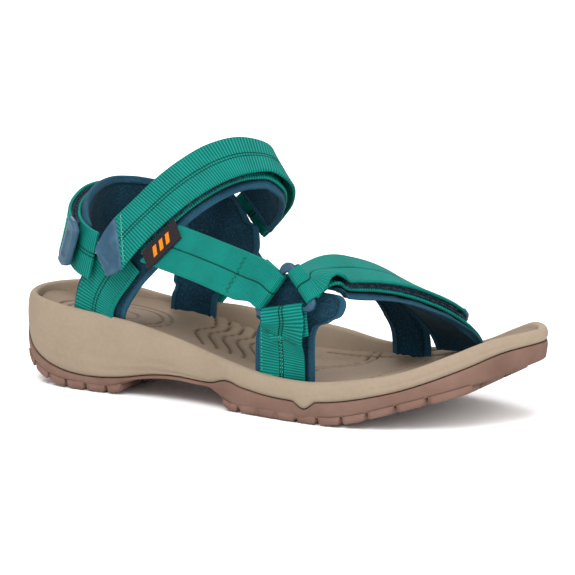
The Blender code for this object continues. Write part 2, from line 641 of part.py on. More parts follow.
heel = Path(HEEL_PATH)
HEEL_LOOP = (WEBBING + LOOP_PILE) / 2 + FIT_GAP
HEEL_HOOK = HEEL_LOOP + (LOOP_PILE + HOOK_PILE) / 2 + FIT_GAP
HEEL_FLAP = HEEL_HOOK + (HOOK_PILE + WEBBING) / 2 + FIT_GAP
HEEL_PAD = -(WEBBING + PAD) / 2 - FIT_GAP - 0.2
HEEL_OUTER = WEBBING + FIT_GAP
HEEL_HINGE = 76.0
HEEL_END = 35.0
heel_flap = [
    strap("heel_flap", heel, HEEL_END, HEEL_HINGE - FIT_GAP, lift=HEEL_FLAP),
    strap("heel_hook_patch", heel, HEEL_END + 2, HEEL_HINGE - 8, lift=HEEL_HOOK,
          thickness=HOOK_PILE, width=WEBBING_WIDTH - 2),
    strap("heel_tab", heel, HEEL_END - 11, HEEL_END - FIT_GAP, lift=HEEL_FLAP, thickness=TAB,
          profile=(0.8, 1.0, 1.0)),
]
strap("heel_base_webbing", heel, 14, HEEL_HINGE + 22)
strap("heel_loop_patch", heel, HEEL_END - 4, HEEL_HINGE - 3, lift=HEEL_LOOP,
      thickness=LOOP_PILE, width=WEBBING_WIDTH - 2)
strap("heel_strap", heel, HEEL_HINGE, heel.length, lift=(HEEL_FLAP, HEEL_OUTER, HEEL_OUTER))
strap("heel_pad", heel, 25, heel.length - 10, lift=HEEL_PAD, thickness=PAD, width=33.0,
      profile=(0.72, 0.9, 1.0, 1.0, 1.0, 0.95, 0.85))


# ---------------------------------------------------------------- hinges and colours

def hinge(name, pieces, path, distance, lift):
    """An empty on a flap's hinge line, at the outer face of its root, holding the flap."""
    pivot = bpy.data.objects.new(name, None)
    pivot.empty_display_size = 0.01
    sandal.objects.link(pivot)
    place = (path.at(distance, 0.0, lift) + np.array(FRAME_SHIFT)) * MM
    pivot.location = tuple(place)
    for piece in pieces:
        piece.parent = pivot
        piece.matrix_parent_inverse = Matrix.Translation(-pivot.location)


HINGE_LIFT = WEBBING / 2 + 0.1
hinge("instep_hinge", instep_flap, instep, INSTEP_HINGE - FIT_GAP / 2, HINGE_LIFT)
hinge("toe_hinge", toe_flap, toe, TOE_HINGE - FIT_GAP / 2, HINGE_LIFT)
hinge("heel_hinge", heel_flap, heel, HEEL_HINGE - FIT_GAP / 2, HEEL_FLAP + HINGE_LIFT)

LOOKS = (
    ("outsole", BROWN, 0.85), ("midsole", TAN, 0.8), ("footbed", SHADE_TAN, 0.85),
    ("shank", INK, 0.5), ("heel_shock_pad", BLUE, 0.6), ("strap_link", BLUE, 0.45),
    ("side_label", CHARCOAL, 0.9),
)
ENDINGS = (("_webbing", GREEN, 0.85), ("_flap", GREEN, 0.85), ("_strap", GREEN, 0.85),
           ("_lining", INK, 0.9), ("_pad", INK, 0.9), ("_patch", INK, 0.95), ("_tab", BLUE, 0.5))
named = {name: (colour, roughness) for name, colour, roughness in LOOKS}
for thing in sandal.objects:
    if thing.type != "MESH":
        continue
    look = named.get(thing.name)
    for ending, colour, roughness in ENDINGS:
        if look is None and thing.name.endswith(ending):
            look = (colour, roughness)
    paint(thing, *look)
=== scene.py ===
"""The looks of a strappy sport sandal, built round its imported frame.

Straps follow the same middle lines as the frame's straps, in a design frame in millimetres: X from
the heel to the toe, Y positive on the medial side, Z up from the ground.
"""

import math

import bpy
import numpy as np
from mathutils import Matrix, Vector


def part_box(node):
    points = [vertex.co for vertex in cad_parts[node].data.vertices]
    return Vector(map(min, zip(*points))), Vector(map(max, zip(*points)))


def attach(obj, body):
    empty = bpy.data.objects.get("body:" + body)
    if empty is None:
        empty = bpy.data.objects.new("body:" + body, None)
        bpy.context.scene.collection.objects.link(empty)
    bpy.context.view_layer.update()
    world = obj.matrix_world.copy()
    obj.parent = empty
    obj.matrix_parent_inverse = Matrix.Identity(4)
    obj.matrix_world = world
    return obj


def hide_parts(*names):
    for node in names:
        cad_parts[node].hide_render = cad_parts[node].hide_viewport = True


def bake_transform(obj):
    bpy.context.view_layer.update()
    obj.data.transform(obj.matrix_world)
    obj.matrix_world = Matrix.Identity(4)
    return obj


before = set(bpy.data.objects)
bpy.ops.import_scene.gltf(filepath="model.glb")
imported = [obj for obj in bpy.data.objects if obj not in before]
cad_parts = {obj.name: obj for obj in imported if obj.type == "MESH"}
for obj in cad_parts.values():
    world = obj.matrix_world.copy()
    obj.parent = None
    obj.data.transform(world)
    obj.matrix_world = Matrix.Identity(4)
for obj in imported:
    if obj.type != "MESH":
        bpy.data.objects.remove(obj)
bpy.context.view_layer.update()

MM = 0.001
SEED = 7
SPAN_STEPS = 12
WEBBING_WIDTH = 23.0
WEBBING = 1.5
LOOP_PILE = 1.1
HOOK_PILE = 0.9
LINER = 2.6
PAD = 3.2
TAB = 2.8
TAB_ROOT = 2.2
FIT_GAP = 0.35
RIB_PITCH = 1.3
LINK_ROD = 2.35

# Half outlines of the sole at its widest level: distance from the heel, lateral, medial
OUTLINE_X = (0, 2, 5, 10, 20, 30, 45, 60, 80, 100, 120, 140, 160, 175, 190, 205, 220, 235,
             245, 252, 257, 259.5)
OUTLINE_LATERAL = (0, -11, -18, -24, -30, -32.5, -34, -34.5, -35, -36.5, -39.5, -43, -46, -47,
                   -46.5, -44, -38, -28.5, -19, -9, 1, 10)
OUTLINE_MEDIAL = (0, 11, 17, 23, 29, 31.5, 32.5, 32, 30, 28, 29, 33.5, 40, 44.5, 47, 47.5, 46,
                  41.5, 35.5, 28, 20, 10)

# Heights along the sole: distance from the heel, height
GROUND = ((0, 17), (3, 13), (10, 8), (18, 4), (28, 1), (38, 0), (60, 0), (70, 3.5), (80, 7.5),
          (95, 9), (105, 9), (116, 5), (126, 0), (178, 0), (190, 2), (205, 6.5), (220, 11),
          (235, 15.5), (248, 20), (260, 25))
FEATHER = ((0, 32), (3, 28), (8, 19), (20, 11.5), (34, 7.5), (50, 6.5), (66, 8), (81, 10.7),
           (93, 11.7), (112, 11.2), (122, 11.8), (131, 11.5), (145, 9.8), (175, 10),
           (186, 11.6), (200, 14.7), (214, 18.6), (222, 21.5), (238, 28.3), (250, 34), (260, 36))
RIM_LATERAL = ((0, 41.5), (16, 40.5), (35, 38.5), (51, 37), (68, 35), (88, 31), (114, 25),
               (145, 19.5), (172, 19), (192, 22), (214, 27), (232, 34.5), (245, 40), (260, 42))
RIM_MEDIAL = ((0, 41.5), (16, 40.5), (37, 38), (57, 35), (78, 35), (96, 36), (115, 34.5),
              (142, 29.5), (168, 22), (186, 20.5), (200, 22), (216, 27), (232, 34.5),
              (245, 40), (260, 42))
FOOTBED_FLOOR = ((0, 36), (20, 32.5), (45, 30.5), (70, 28.5), (100, 23), (130, 16.8),
                 (160, 14.5), (185, 15.5), (205, 19.5), (225, 27), (245, 36), (260, 39.5))
RIM_WIDTH = 5.0
RIM_DROP = 1.0
TREAD_DEPTH = 3.2
GROOVE_WIDTH = 2.4
HEEL_GROOVES = (14, 24, 34.5, 45.5, 57)
FOREFOOT_GROOVES = (131, 141.5, 152, 163, 174, 186, 198, 210.5, 223)
HEEL_TREAD = (6.0, 66.0)
FOREFOOT_TREAD = (121.5, 240.0)
LUG_SPLITS = ((-9.5, 10.5), (-13.0, 14.0))
LUG_GAP = 3.0
LUG_INSET = 0.75
LUG_BOW = 1.6
FOOTBED = 3.0
FOOTBED_COLUMNS = 180
OVAL_MIDDLE = (43.0, -1.5)
OVAL_REACH = (24.5, 17.5)

# Straps: points along the middle of each strap, each with the direction that faces away from
# the foot. The instep and toe paths are for the outermost webbing, the heel path for the inner.
INSTEP_PATH = (((55.5, -39, 58.5), (-0.2, -0.95, 0.15)), ((62, -38, 67), (-0.18, -0.94, 0.28)),
               ((70.3, -34.5, 77.3), (-0.13, -0.87, 0.47)), ((77.5, -27, 86.5), (0, -0.77, 0.64)),
               ((84.5, -19, 95), (0.13, -0.7, 0.7)), ((91.5, -9.5, 102), (0.25, -0.63, 0.73)),
               ((98.5, 0, 107), (0.39, -0.53, 0.75)), ((107, 10.5, 109.5), (0.55, -0.3, 0.78)),
               ((116, 19, 107.5), (0.66, 0.05, 0.75)), ((118.5, 26, 101), (0.7, 0.38, 0.6)),
               ((113.8, 32, 93), (0.55, 0.78, 0.35)), ((107, 36, 86), (0.34, 0.92, 0.2)),
               ((100.7, 38.1, 80), (0.2, 0.97, 0.1)), ((94, 39, 74), (0.1, 1, 0)))
LATERAL_PATH = (((76, -31, 75), (0, -0.84, 0.54)), ((92, -34.2, 72), (0, -0.81, 0.58)),
                ((107, -37, 69.3), (0, -0.78, 0.62)), ((122, -39.9, 66.2), (0, -0.78, 0.62)),
                ((136, -42.8, 63), (-0.04, -0.85, 0.5)))
REAR_LATERAL_PATH = (((48.5, -29.8, 11), (-0.14, -1, 0)), ((48.5, -30, 34), (-0.14, -1, 0)),
                     ((50.5, -30.8, 43), (-0.16, -1, 0)), ((55, -31.7, 51), (-0.15, -1, 0.02)),
                     ((61, -32.3, 58.5), (-0.1, -1, 0.1)), ((67, -32, 66), (0, -0.97, 0.25)))
FRONT_LATERAL_PATH = (((153.5, -39.8, 11), (0, -1, 0)), ((153.5, -40, 20), (0, -1, 0.05)),
                      ((154.3, -42, 31), (0, -1, 0.14)), ((155.8, -45.8, 40), (0, -1, 0.16)))
TOE_PATH = (((166.5, -38, 66.5), (0.2, -0.5, 0.83)), ((174, -24.5, 67.5), (0.38, -0.1, 0.9)),
            ((180, -10, 65), (0.42, 0.1, 0.88)), ((186, 4, 60.5), (0.4, 0.28, 0.86)),
            ((193, 17, 53.5), (0.36, 0.5, 0.78)), ((200, 29.5, 43.5), (0.25, 0.78, 0.55)),
            ((204.5, 40, 32), (0.1, 0.97, 0.2)), ((205.5, 44.5, 24), (0, 1, 0.15)),
            ((206, 45.8, 17.5), (0, 1, 0.05)))
HEEL_PATH = (((66, -37, 62.5), (0, -1, 0.1)), ((55, -35.6, 64), (-0.12, -1, 0.1)),
             ((45, -31.8, 66), (-0.35, -0.93, 0.12)), ((37, -26, 69), (-0.66, -0.72, 0.18)),
             ((32, -18.5, 72), (-0.88, -0.42, 0.24)), ((29.5, -9.5, 75.5), (-0.96, -0.15, 0.25)),
             ((29, 0, 78.5), (-0.97, 0.06, 0.25)), ((30.5, 10, 79.5), (-0.93, 0.3, 0.22)),
             ((36, 20.5, 78.5), (-0.75, 0.63, 0.18)), ((46, 28.5, 77), (-0.4, 0.9, 0.12)),
             ((58, 32.5, 75), (-0.15, 0.98, 0.1)), ((74, 34.8, 71.5), (0, 1, 0.1)))
REAR_MEDIAL_PATH = (((72, 26.3, 11), (0, 1, 0)), ((72, 27, 34), (0, 1, 0)),
                    ((78, 31, 45), (0, 1, -0.1)), ((88, 35, 54.5), (0.05, 1, -0.05)),
                    ((97, 37.3, 62), (0.1, 1, 0)))
FRONT_MEDIAL_PATH = (((180, 40.5, 11), (0, 1, 0)), ((180, 41, 21), (0, 1, 0)),
                     ((179.5, 38.5, 30), (0, 1, 0.25)), ((178.5, 34.5, 37), (0, 0.9, 0.45)))
LABEL_PATH = (((82.9, -40.9, 65.6), (0, -0.82, 0.57)), ((94.4, -30.7, 80.2), (0, -0.82, 0.57)))

# Shaped linings: height, X of the rear edge, X of the front edge, Y
FRONT_LATERAL_LINING = ((11, 138.3, 168.8, -37.4), (20, 138.3, 168.8, -37.6),
                        (31, 138.6, 169.3, -38.5), (38, 138, 171, -38.9),
                        (43, 138.3, 175, -39.1), (47.5, 139.5, 180.5, -39),
                        (51, 140.5, 184.6, -38.8), (54, 141.5, 185.4, -38.6),
                        (56.2, 143, 183.5, -38.4), (57.6, 145.5, 178.5, -38.1),
                        (60, 148, 166, -37.7), (66, 152, 160, -36.8))
REAR_MEDIAL_LINING = ((11, 58.8, 84.4, 23.3), (34, 58.8, 84.4, 23.8), (37.5, 58.8, 85, 24.1),
                      (42, 58.9, 90.5, 25.3), (50, 59.8, 98, 27.2), (57, 61.8, 103, 27.8),
                      (62, 64.2, 105.3, 27.7), (68, 65.4, 104.7, 27.5), (74, 66.9, 101.5, 27.3),
                      (80, 68.3, 98.5, 27.1), (86, 71, 94.5, 27), (89, 74.5, 91.5, 27))
FRONT_MEDIAL_LINING = ((11, 170, 190, 37.9), (21, 170, 190, 38.4), (30, 169.8, 189.8, 35.8),
                       (37, 168.5, 187.3, 31.6), (43, 166.5, 183.2, 27.2), (48, 164.5, 178.6, 22.3))

# Three-sided link: middles of its corners
LINK_TOP = (157, -40.8, 71)
LINK_REAR = (140.5, -46.5, 46.3)
LINK_FRONT = (174.2, -46, 53.4)
LINK_BLUNT = 3.2
LINK_REACH = 6.5
FOLD_TAIL = 12.0
FOLD_LEAD = 3.0

midsole_low, midsole_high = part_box("midsole")
SHIFT = np.array((midsole_low.x / MM, midsole_high.y / MM - max(OUTLINE_MEDIAL), 0.0))
rng = np.random.default_rng(SEED)


# ---------------------------------------------------------------- curves and paths

def unit(rows):
    """Each row scaled to length 1."""
    return rows / np.linalg.norm(rows, axis=-1, keepdims=True)


def spline(rows, per_span, key=None):
    """A smooth curve through the rows, with the spacing taken from their first `key` columns."""
    rows = np.array(rows, float)
    gap = np.linalg.norm(np.diff(rows[:, :key], axis=0), axis=1)[:, None]
    slope = np.diff(rows, axis=0) / gap
    lean = np.vstack([slope[:1], (slope[:-1] * gap[1:] + slope[1:] * gap[:-1])
                      / (gap[1:] + gap[:-1]), slope[-1:]])
    f = (np.arange(per_span) / per_span)[None, :, None]
    a, b = rows[:-1, None, :], rows[1:, None, :]
    la, lb, g = lean[:-1, None, :], lean[1:, None, :], gap[:, None, :]
    out = ((1 + 2 * f) * (1 - f) ** 2 * a + f * (1 - f) ** 2 * g * la
           + f * f * (3 - 2 * f) * b + f * f * (f - 1) * g * lb)
    return np.vstack([out.reshape(-1, rows.shape[1]), rows[-1:]])


class Path:
    """A strap's middle line, with its across and outward directions, by distance along it."""

    def __init__(self, stations):
        rows = spline([(*s[0], *s[1]) for s in stations], SPAN_STEPS, key=3)
        self.points = rows[:, :3]
        steps = np.linalg.norm(np.diff(self.points, axis=0), axis=1)
        self.along = np.concatenate([[0.0], np.cumsum(steps)])
        self.length = float(self.along[-1])
        tangent = unit(np.gradient(self.points, self.along, axis=0))
        widths = unit(np.cross(rows[:, 3:], tangent))[::SPAN_STEPS]
        for k, station in enumerate(stations):
            if len(station) > 2:
                own = np.array(station[2], float)
                widths[k] = own * np.sign(own @ widths[k])
        placed = np.hstack([rows[::SPAN_STEPS, :3], widths])
        self.across = unit(spline(placed, SPAN_STEPS, key=3)[:, 3:])
        self.outward = unit(np.cross(tangent, self.across))

    def pick(self, table, distance):
        """A table's rows at these distances, carried straight on past both ends."""
        distance = np.asarray(distance, float)
        inside = np.clip(distance, 0.0, self.length)
        out = np.stack([np.interp(inside, self.along, table[:, k]) for k in range(3)], axis=-1)
        if table is self.points:
            start = unit(table[1] - table[0])
            end = unit(table[-1] - table[-2])
            out = out + np.minimum(distance, 0.0)[..., None] * start
            out = out + np.maximum(distance - self.length, 0.0)[..., None] * end
        return out

    def at(self, distance, sideways=0.0, lift=0.0):
        sideways = np.asarray(sideways, float)[..., None]
        lift = np.asarray(lift, float)[..., None]
        return (self.pick(self.points, distance)
                + unit(self.pick(self.across, distance)) * sideways
                + unit(self.pick(self.outward, distance)) * lift)

    def station(self, distance, lift=0.0):
        """A point with its outward and across directions, to build another path from."""
        return (tuple(self.at(distance, 0.0, lift)), tuple(unit(self.pick(self.outward, distance))),
                tuple(unit(self.pick(self.across, distance))))


def spread(values, u):
    """Values evenly spaced from 0 to 1, read at u."""
    return np.interp(u, np.linspace(0, 1, len(values)), values)


def smooth_height(table):
    """The same heights on a curve without corners."""
    fine = spline([(x, z) for x, z in table], 8)
    return lambda x: np.interp(x, fine[:, 0], fine[:, 1])


def bell(distance, half_width):
    """1 on a line and 0 beyond half_width from it."""
    t = np.clip(np.abs(distance) / half_width, 0.0, 1.0)
    return (1 - t * t) ** 2


# ---------------------------------------------------------------- meshes

def piece(name, points, faces, look, body="sandal", replaces=(), lay=None):
    """A mesh piece in the frame's metres, which rides on a body unless body is None."""
    mesh = bpy.data.meshes.new(name)
    placed = (np.asarray(points, float).reshape(-1, 3) + SHIFT) * MM
    mesh.from_pydata(placed.tolist(), [], [tuple(int(k) for k in f) for f in faces])
    mesh.update()
    if lay is not None:
        layer = mesh.attributes.new("lay", "FLOAT_VECTOR", "POINT")
        layer.data.foreach_set("vector", np.asarray(lay, np.float32).ravel())
    mesh.shade_smooth()
    thing = bpy.data.objects.new(name, mesh)
    bpy.context.scene.collection.objects.link(thing)
    mesh.materials.append(look)
    if replaces:
        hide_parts(*replaces)
    if body:
        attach(thing, body)
    return thing


def tube_faces(rows, ring):
    """Quads of a tube of that many rings, with one face over each end."""
    i, j = np.meshgrid(np.arange(rows - 1), np.arange(ring), indexing="ij")
    k = (j + 1) % ring
    quads = np.stack([i * ring + j, i * ring + k, (i + 1) * ring + k, (i + 1) * ring + j], axis=-1)
    faces = [tuple(q) for q in quads.reshape(-1, 4)]
    faces.append(tuple(range(ring - 1, -1, -1)))
    faces.append(tuple(range((rows - 1) * ring, rows * ring)))
    return faces


def strap_section(columns, edge_steps):
    """Unit section of a flat strap: share across, edge cosine, side, going once round.

    columns is how many there are, or their places from -1 to 1.
    """
    v = np.linspace(-1, 1, columns + 1) if isinstance(columns, int) else np.array(columns)
    turn = np.linspace(90, -90, edge_steps + 1)[1:-1]
    section = [(x, 0.0, 1.0) for x in v]
    section += [(1.0, math.cos(math.radians(a)), math.sin(math.radians(a))) for a in turn]
    section += [(x, 0.0, -1.0) for x in v[::-1]]
    section += [(-1.0, -math.cos(math.radians(a)), -math.sin(math.radians(a))) for a in turn]
    return np.array(section)


def sweep(path, start, end, thickness, width, lift=0.0, step=1.0, columns=12, skew=(0.0, 0.0),
          profile=(1.0, 1.0), sideways=0.0, relief=None, edge_steps=4, blunt=0.6, edged=False):
    """Points, faces and (along, across, outward) of a strap with rounded edges and ends.

    With edged, across is replaced by the distance from the nearest edge or end.
    """
    half = thickness / 2
    tip = half * (1 - np.cos(np.radians((10, 35, 62, 90)))) * blunt * 2
    inner = np.arange(start + tip[-1] + step, end - tip[-1] - step / 2, step)
    s = np.concatenate([start + tip, inner, end - tip[::-1]])
    shrink = np.ones(len(s))
    shrink[:4] = np.sin(np.radians((22, 45, 70, 90)))
    shrink[-4:] = shrink[:4][::-1]
    u = (s - start) / (end - start)
    section = strap_section(columns, edge_steps)
    x, cosine, side = section.T
    lifts = lift if isinstance(lift, tuple) else (lift, lift)
    shifts = sideways if isinstance(sideways, tuple) else (sideways, sideways)
    half_width = spread(profile, u)[:, None] * width / 2
    v = x[None, :] * (half_width - half) + cosine[None, :] * half * shrink[:, None]
    share = v / half_width
    distance = s[:, None] + share * (skew[0] * (1 - u) + skew[1] * u)[:, None]
    rise = side[None, :] * half * shrink[:, None]
    if relief is not None:
        rise = rise + np.sign(side)[None, :] * relief(distance, v, share, side[None, :])
    points = path.at(distance, spread(shifts, u)[:, None] + v, spread(lifts, u)[:, None] + rise)
    margin = np.minimum((1 - np.abs(share)) * half_width, np.minimum(s - start, end - s)[:, None])
    lay = np.stack([distance, margin if edged else v, rise], axis=-1)
    return points.reshape(-1, 3), tube_faces(len(s), len(section)), lay.reshape(-1, 3)


def capsules(starts, ends, ups, radius, arch=0.25):
    """Short round threads from each start to its end, raised in the middle."""
    starts, ends, ups = (np.asarray(a, float) for a in (starts, ends, ups))
    along = unit(ends - starts)
    side = unit(np.cross(along, ups))
    ups = unit(np.cross(side, along))
    shares = np.array((0.0, 0.12, 0.35, 0.65, 0.88, 1.0))
    girth = np.array((0.25, 0.85, 1.0, 1.0, 0.85, 0.25)) * radius
    rise = arch * np.sin(shares * math.pi)
    angles = np.radians(np.arange(0, 360, 60))
    points = []
    for share, thick, up in zip(shares, girth, rise):
        middle = starts + (ends - starts) * share + ups * up
        for angle in angles:
            points.append(middle + thick * (side * math.cos(angle) + ups * math.sin(angle)))
    count = len(starts)
    block = np.stack(points, axis=1)
    base = tube_faces(len(shares), len(angles))
    size = len(shares) * len(angles)
    faces = [tuple(k + n * size for k in f) for n in range(count) for f in base]
    return block.reshape(-1, 3), faces


def threads(name, path, runs, lift, look, body="sandal", radius=0.26, arch=0.22):
    """Stitches on a path. Each run is (along, across, along, across) of its two ends."""
    runs = np.array(runs, float)
    starts = path.at(runs[:, 0], runs[:, 1], lift)
    ends = path.at(runs[:, 2], runs[:, 3], lift)
    ups = unit(path.pick(path.outward, runs[:, 0]))
    points, faces = capsules(starts, ends, ups, radius, arch)
    return piece(name, points, faces, look, body)


def rows_of_stitches(start, end, places, length, gap):
    """Straight rows of stitches along a strap, one at each of these places across it."""
    return [(s, across, s + length, across) for across in places
            for s in np.arange(start, end - length, length + gap)]


def zigzag(along, low, high, swing=1.6, pitch=1.1, skew=0.0):
    """A bar tack across a strap."""
    runs = []
    places = np.arange(low, high, pitch)
    for k, (a, b) in enumerate(zip(places, places[1:])):
        lean = swing / 2 if k % 2 else -swing / 2
        middle = along + skew * (a + b) / (high - low)
        runs.append((middle - lean, a, middle + lean, b))
    return runs


# ---------------------------------------------------------------- materials

def socket(node, *names):
    for name in names:
        if name in node.inputs:
            return node.inputs[name]
    raise KeyError(names)


class Look:
    """A material in the making: a Principled shader with helpers for its node tree."""

    def __init__(self, name, roughness=0.7, sheen=0.0, specular=0.4):
        self.material = bpy.data.materials.new(name)
        self.material.use_nodes = True
        self.tree = self.material.node_tree
        self.shader = self.tree.nodes["Principled BSDF"]
        socket(self.shader, "Roughness").default_value = roughness
        socket(self.shader, "Sheen Weight", "Sheen").default_value = sheen
        socket(self.shader, "Specular IOR Level", "Specular").default_value = specular

    def node(self, kind, **values):
        made = self.tree.nodes.new(kind)
        for key, value in values.items():
            setattr(made, key, value)
        return made

    def join(self, source, target):
        self.tree.links.new(source, target)

    def place(self):
        """The position on the object, in metres."""
        return self.node("ShaderNodeTexCoord").outputs["Object"]

    def lay(self):
        """Along, across and outward on a strap, in millimetres."""
        made = self.node("ShaderNodeAttribute", attribute_type="GEOMETRY")
        made.attribute_name = "lay"
        return made.outputs["Vector"]

    def noise(self, source, scale, detail=4.0, rough=0.55):
        made = self.node("ShaderNodeTexNoise")
        made.inputs["Scale"].default_value = scale
        made.inputs["Detail"].default_value = detail
        made.inputs["Roughness"].default_value = rough
        self.join(source, made.inputs["Vector"])
        return made.outputs["Fac"]

    def cells(self, source, scale):
        made = self.node("ShaderNodeTexVoronoi")
        made.inputs["Scale"].default_value = scale
        self.join(source, made.inputs["Vector"])
        return made.outputs["Distance"]

    def wave(self, source, pitch, axis, distortion=0.0):
        """Bands across an axis, one per pitch in the source's own unit."""
        made = self.node("ShaderNodeTexWave", bands_direction=axis)
        made.inputs["Scale"].default_value = math.pi / 10.0 / pitch
        made.inputs["Distortion"].default_value = distortion
        self.join(source, made.inputs["Vector"])
        return made.outputs["Fac"]

    def math(self, operation, a, b):
        made = self.node("ShaderNodeMath", operation=operation)
        for value, target in ((a, made.inputs[0]), (b, made.inputs[1])):
            if isinstance(value, (int, float)):
                target.default_value = value
            else:
                self.join(value, target)
        return made.outputs[0]

    def ramp(self, source, *stops):
        made = self.node("ShaderNodeValToRGB")
        line = made.color_ramp
        while len(line.elements) < len(stops):
            line.elements.new(0.5)
        for element, (place, colour) in zip(line.elements, stops):
            element.position = place
            element.color = (*colour, 1.0)
        self.join(source, made.inputs["Fac"])
        return made.outputs["Color"]

    def mix(self, share, a, b):
        made = self.node("ShaderNodeMix", data_type="RGBA")
        for value, target in ((share, made.inputs["Factor"]), (a, made.inputs[6]),
                              (b, made.inputs[7])):
            if isinstance(value, tuple):
                target.default_value = (*value, 1.0)
            elif isinstance(value, (int, float)):
                target.default_value = value
            else:
                self.join(value, target)
        return made.outputs[2]

    def split(self, source):
        """A vector's X, Y and Z sockets."""
        made = self.node("ShaderNodeSeparateXYZ")
        self.join(source, made.inputs["Vector"])
        return made.outputs

    def colour(self, source):
        self.join(source, self.shader.inputs["Base Color"])

    def rough(self, source, low, high):
        made = self.node("ShaderNodeMapRange")
        made.inputs["To Min"].default_value = low
        made.inputs["To Max"].default_value = high
        self.join(source, made.inputs["Value"])
        self.join(made.outputs["Result"], self.shader.inputs["Roughness"])

    def bump(self, source, strength, depth):
        """Bump of this depth in millimetres."""
        made = self.node("ShaderNodeBump")
        made.inputs["Strength"].default_value = strength
        made.inputs["Distance"].default_value = depth * MM
        self.join(source, made.inputs["Height"])
        if self.shader.inputs["Normal"].is_linked:
            self.join(self.shader.inputs["Normal"].links[0].from_socket, made.inputs["Normal"])
        self.join(made.outputs["Normal"], self.shader.inputs["Normal"])


def webbing_look(name, dark, mid, light, line_at, rib=RIB_PITCH, depth=0.22):
    """Polyester webbing: ribs across, fine warp threads along, and dark seams by its middle."""
    look = Look(name, roughness=0.7, sheen=0.0, specular=0.08)
    lay = look.lay()
    ribs = look.wave(lay, rib, "X")
    warp = look.wave(lay, 0.55, "Y", distortion=0.3)
    blotch = look.noise(look.place(), 90.0)
    weave = look.math("MULTIPLY", ribs, look.math("ADD", look.math("MULTIPLY", warp, 0.5), 0.5))
    shade = look.math("ADD", look.math("MULTIPLY", weave, 0.7), look.math("MULTIPLY", blotch, 0.3))
    body = look.ramp(shade, (0.12, dark), (0.45, mid), (0.85, light))
    from_middle = look.math("ABSOLUTE", look.split(lay)["Y"], 0.0)
    from_seam = look.math("ABSOLUTE", look.math("SUBTRACT", from_middle, line_at), 0.0)
    seam = look.math("MULTIPLY", look.math("LESS_THAN", from_seam, 0.36), 0.85)
    look.colour(look.mix(seam, body, tuple(0.35 * part for part in dark)))
    look.rough(blotch, 0.6, 0.8)
    look.bump(weave, 0.6, depth)
    look.bump(look.noise(look.place(), 2600.0, 2.0), 0.3, 0.08)
    return look.material


def knit_look(name, dark, mid, light):
    """Soft stretch cloth over foam: a fine knit, with a painted highlight on its rolled edge."""
    look = Look(name, roughness=0.9, sheen=0.04, specular=0.08)
    place = look.place()
    knit = look.cells(place, 1500.0)
    blotch = look.noise(place, 60.0, 5.0)
    shade = look.math("ADD", look.math("MULTIPLY", knit, 0.55), look.math("MULTIPLY", blotch, 0.5))
    body = look.ramp(shade, (0.2, dark), (0.5, mid), (0.85, light))
    margin = look.split(look.lay())["Y"]
    # Painted highlight: within about 2 mm of the border the knit is mixed halfway towards a lighter
    # navy, standing in for light on the upward-facing roll.
    edge = look.ramp(look.math("DIVIDE", margin, 10.0), (0.2, (0.5, 0.5, 0.5)),
                     (0.29, (0.0, 0.0, 0.0)), (0.33, (0.0, 0.0, 0.0)))
    seam = look.math("LESS_THAN", look.math("ABSOLUTE", look.math(
        "SUBTRACT", margin, ROLL_SEAM), 0.0), 0.3)
    rolled = look.mix(edge, body, tuple(1.35 * part for part in light))
    look.colour(look.mix(look.math("MULTIPLY", seam, 0.7), rolled, dark))
    look.bump(knit, 0.55, 0.18)
    look.bump(look.noise(place, 350.0, 3.0), 0.3, 0.25)
    return look.material


def pile_look(name, dark, mid, light, scale):
    """Hook or loop tape: a dense pile."""
    look = Look(name, roughness=0.95, sheen=0.08, specular=0.08)
    place = look.place()
    tufts = look.cells(place, scale)
    fuzz = look.noise(place, scale * 1.7, 3.0, 0.7)
    look.colour(look.ramp(look.math("MULTIPLY", tufts, fuzz), (0.05, dark), (0.25, mid),
                          (0.6, light)))
    look.bump(tufts, 0.9, 0.5)
    look.bump(fuzz, 0.6, 0.3)
    return look.material


def foam_look(name, dark, mid, light, grain, depth, lines=None):
    """Moulded foam: a fine pebbled skin, uneven in tone, with painted shade in its grooves in the lines
    colour.
    """
    look = Look(name, roughness=0.8, specular=0.15)
    place = look.place()
    pebble = look.cells(place, grain)
    blotch = look.noise(place, 28.0, 6.0)
    fine = look.noise(place, 500.0, 3.0)
    shade = look.math("ADD", look.math("MULTIPLY", blotch, 0.7), look.math("MULTIPLY", fine, 0.3))
    skin = look.ramp(shade, (0.25, dark), (0.5, mid), (0.78, light))
    if lines:
        # Painted shade: the skin is darkened towards the lines colour by each footbed groove's depth.
        sunk = look.math("MULTIPLY", look.math("MINIMUM", look.split(look.lay())["X"], 1.0), 0.85)
        skin = look.mix(sunk, skin, lines)
    look.colour(skin)
    look.rough(blotch, 0.68, 0.9)
    look.bump(pebble, 0.45, depth)
    look.bump(look.noise(place, 160.0, 3.0), 0.15, 0.2)
    return look.material


def plastic_look(name, dark, mid, light, roughness):
    """Soft moulded plastic with a fine grain and rubbed highlights."""
    look = Look(name, roughness=roughness, specular=0.25)
    place = look.place()
    blotch = look.noise(place, 120.0, 5.0)
    look.colour(look.ramp(blotch, (0.3, dark), (0.5, mid), (0.72, light)))
    look.rough(look.noise(place, 240.0), roughness - 0.08, roughness + 0.15)
    look.bump(look.noise(place, 1400.0, 2.0), 0.25, 0.1)
    return look.material


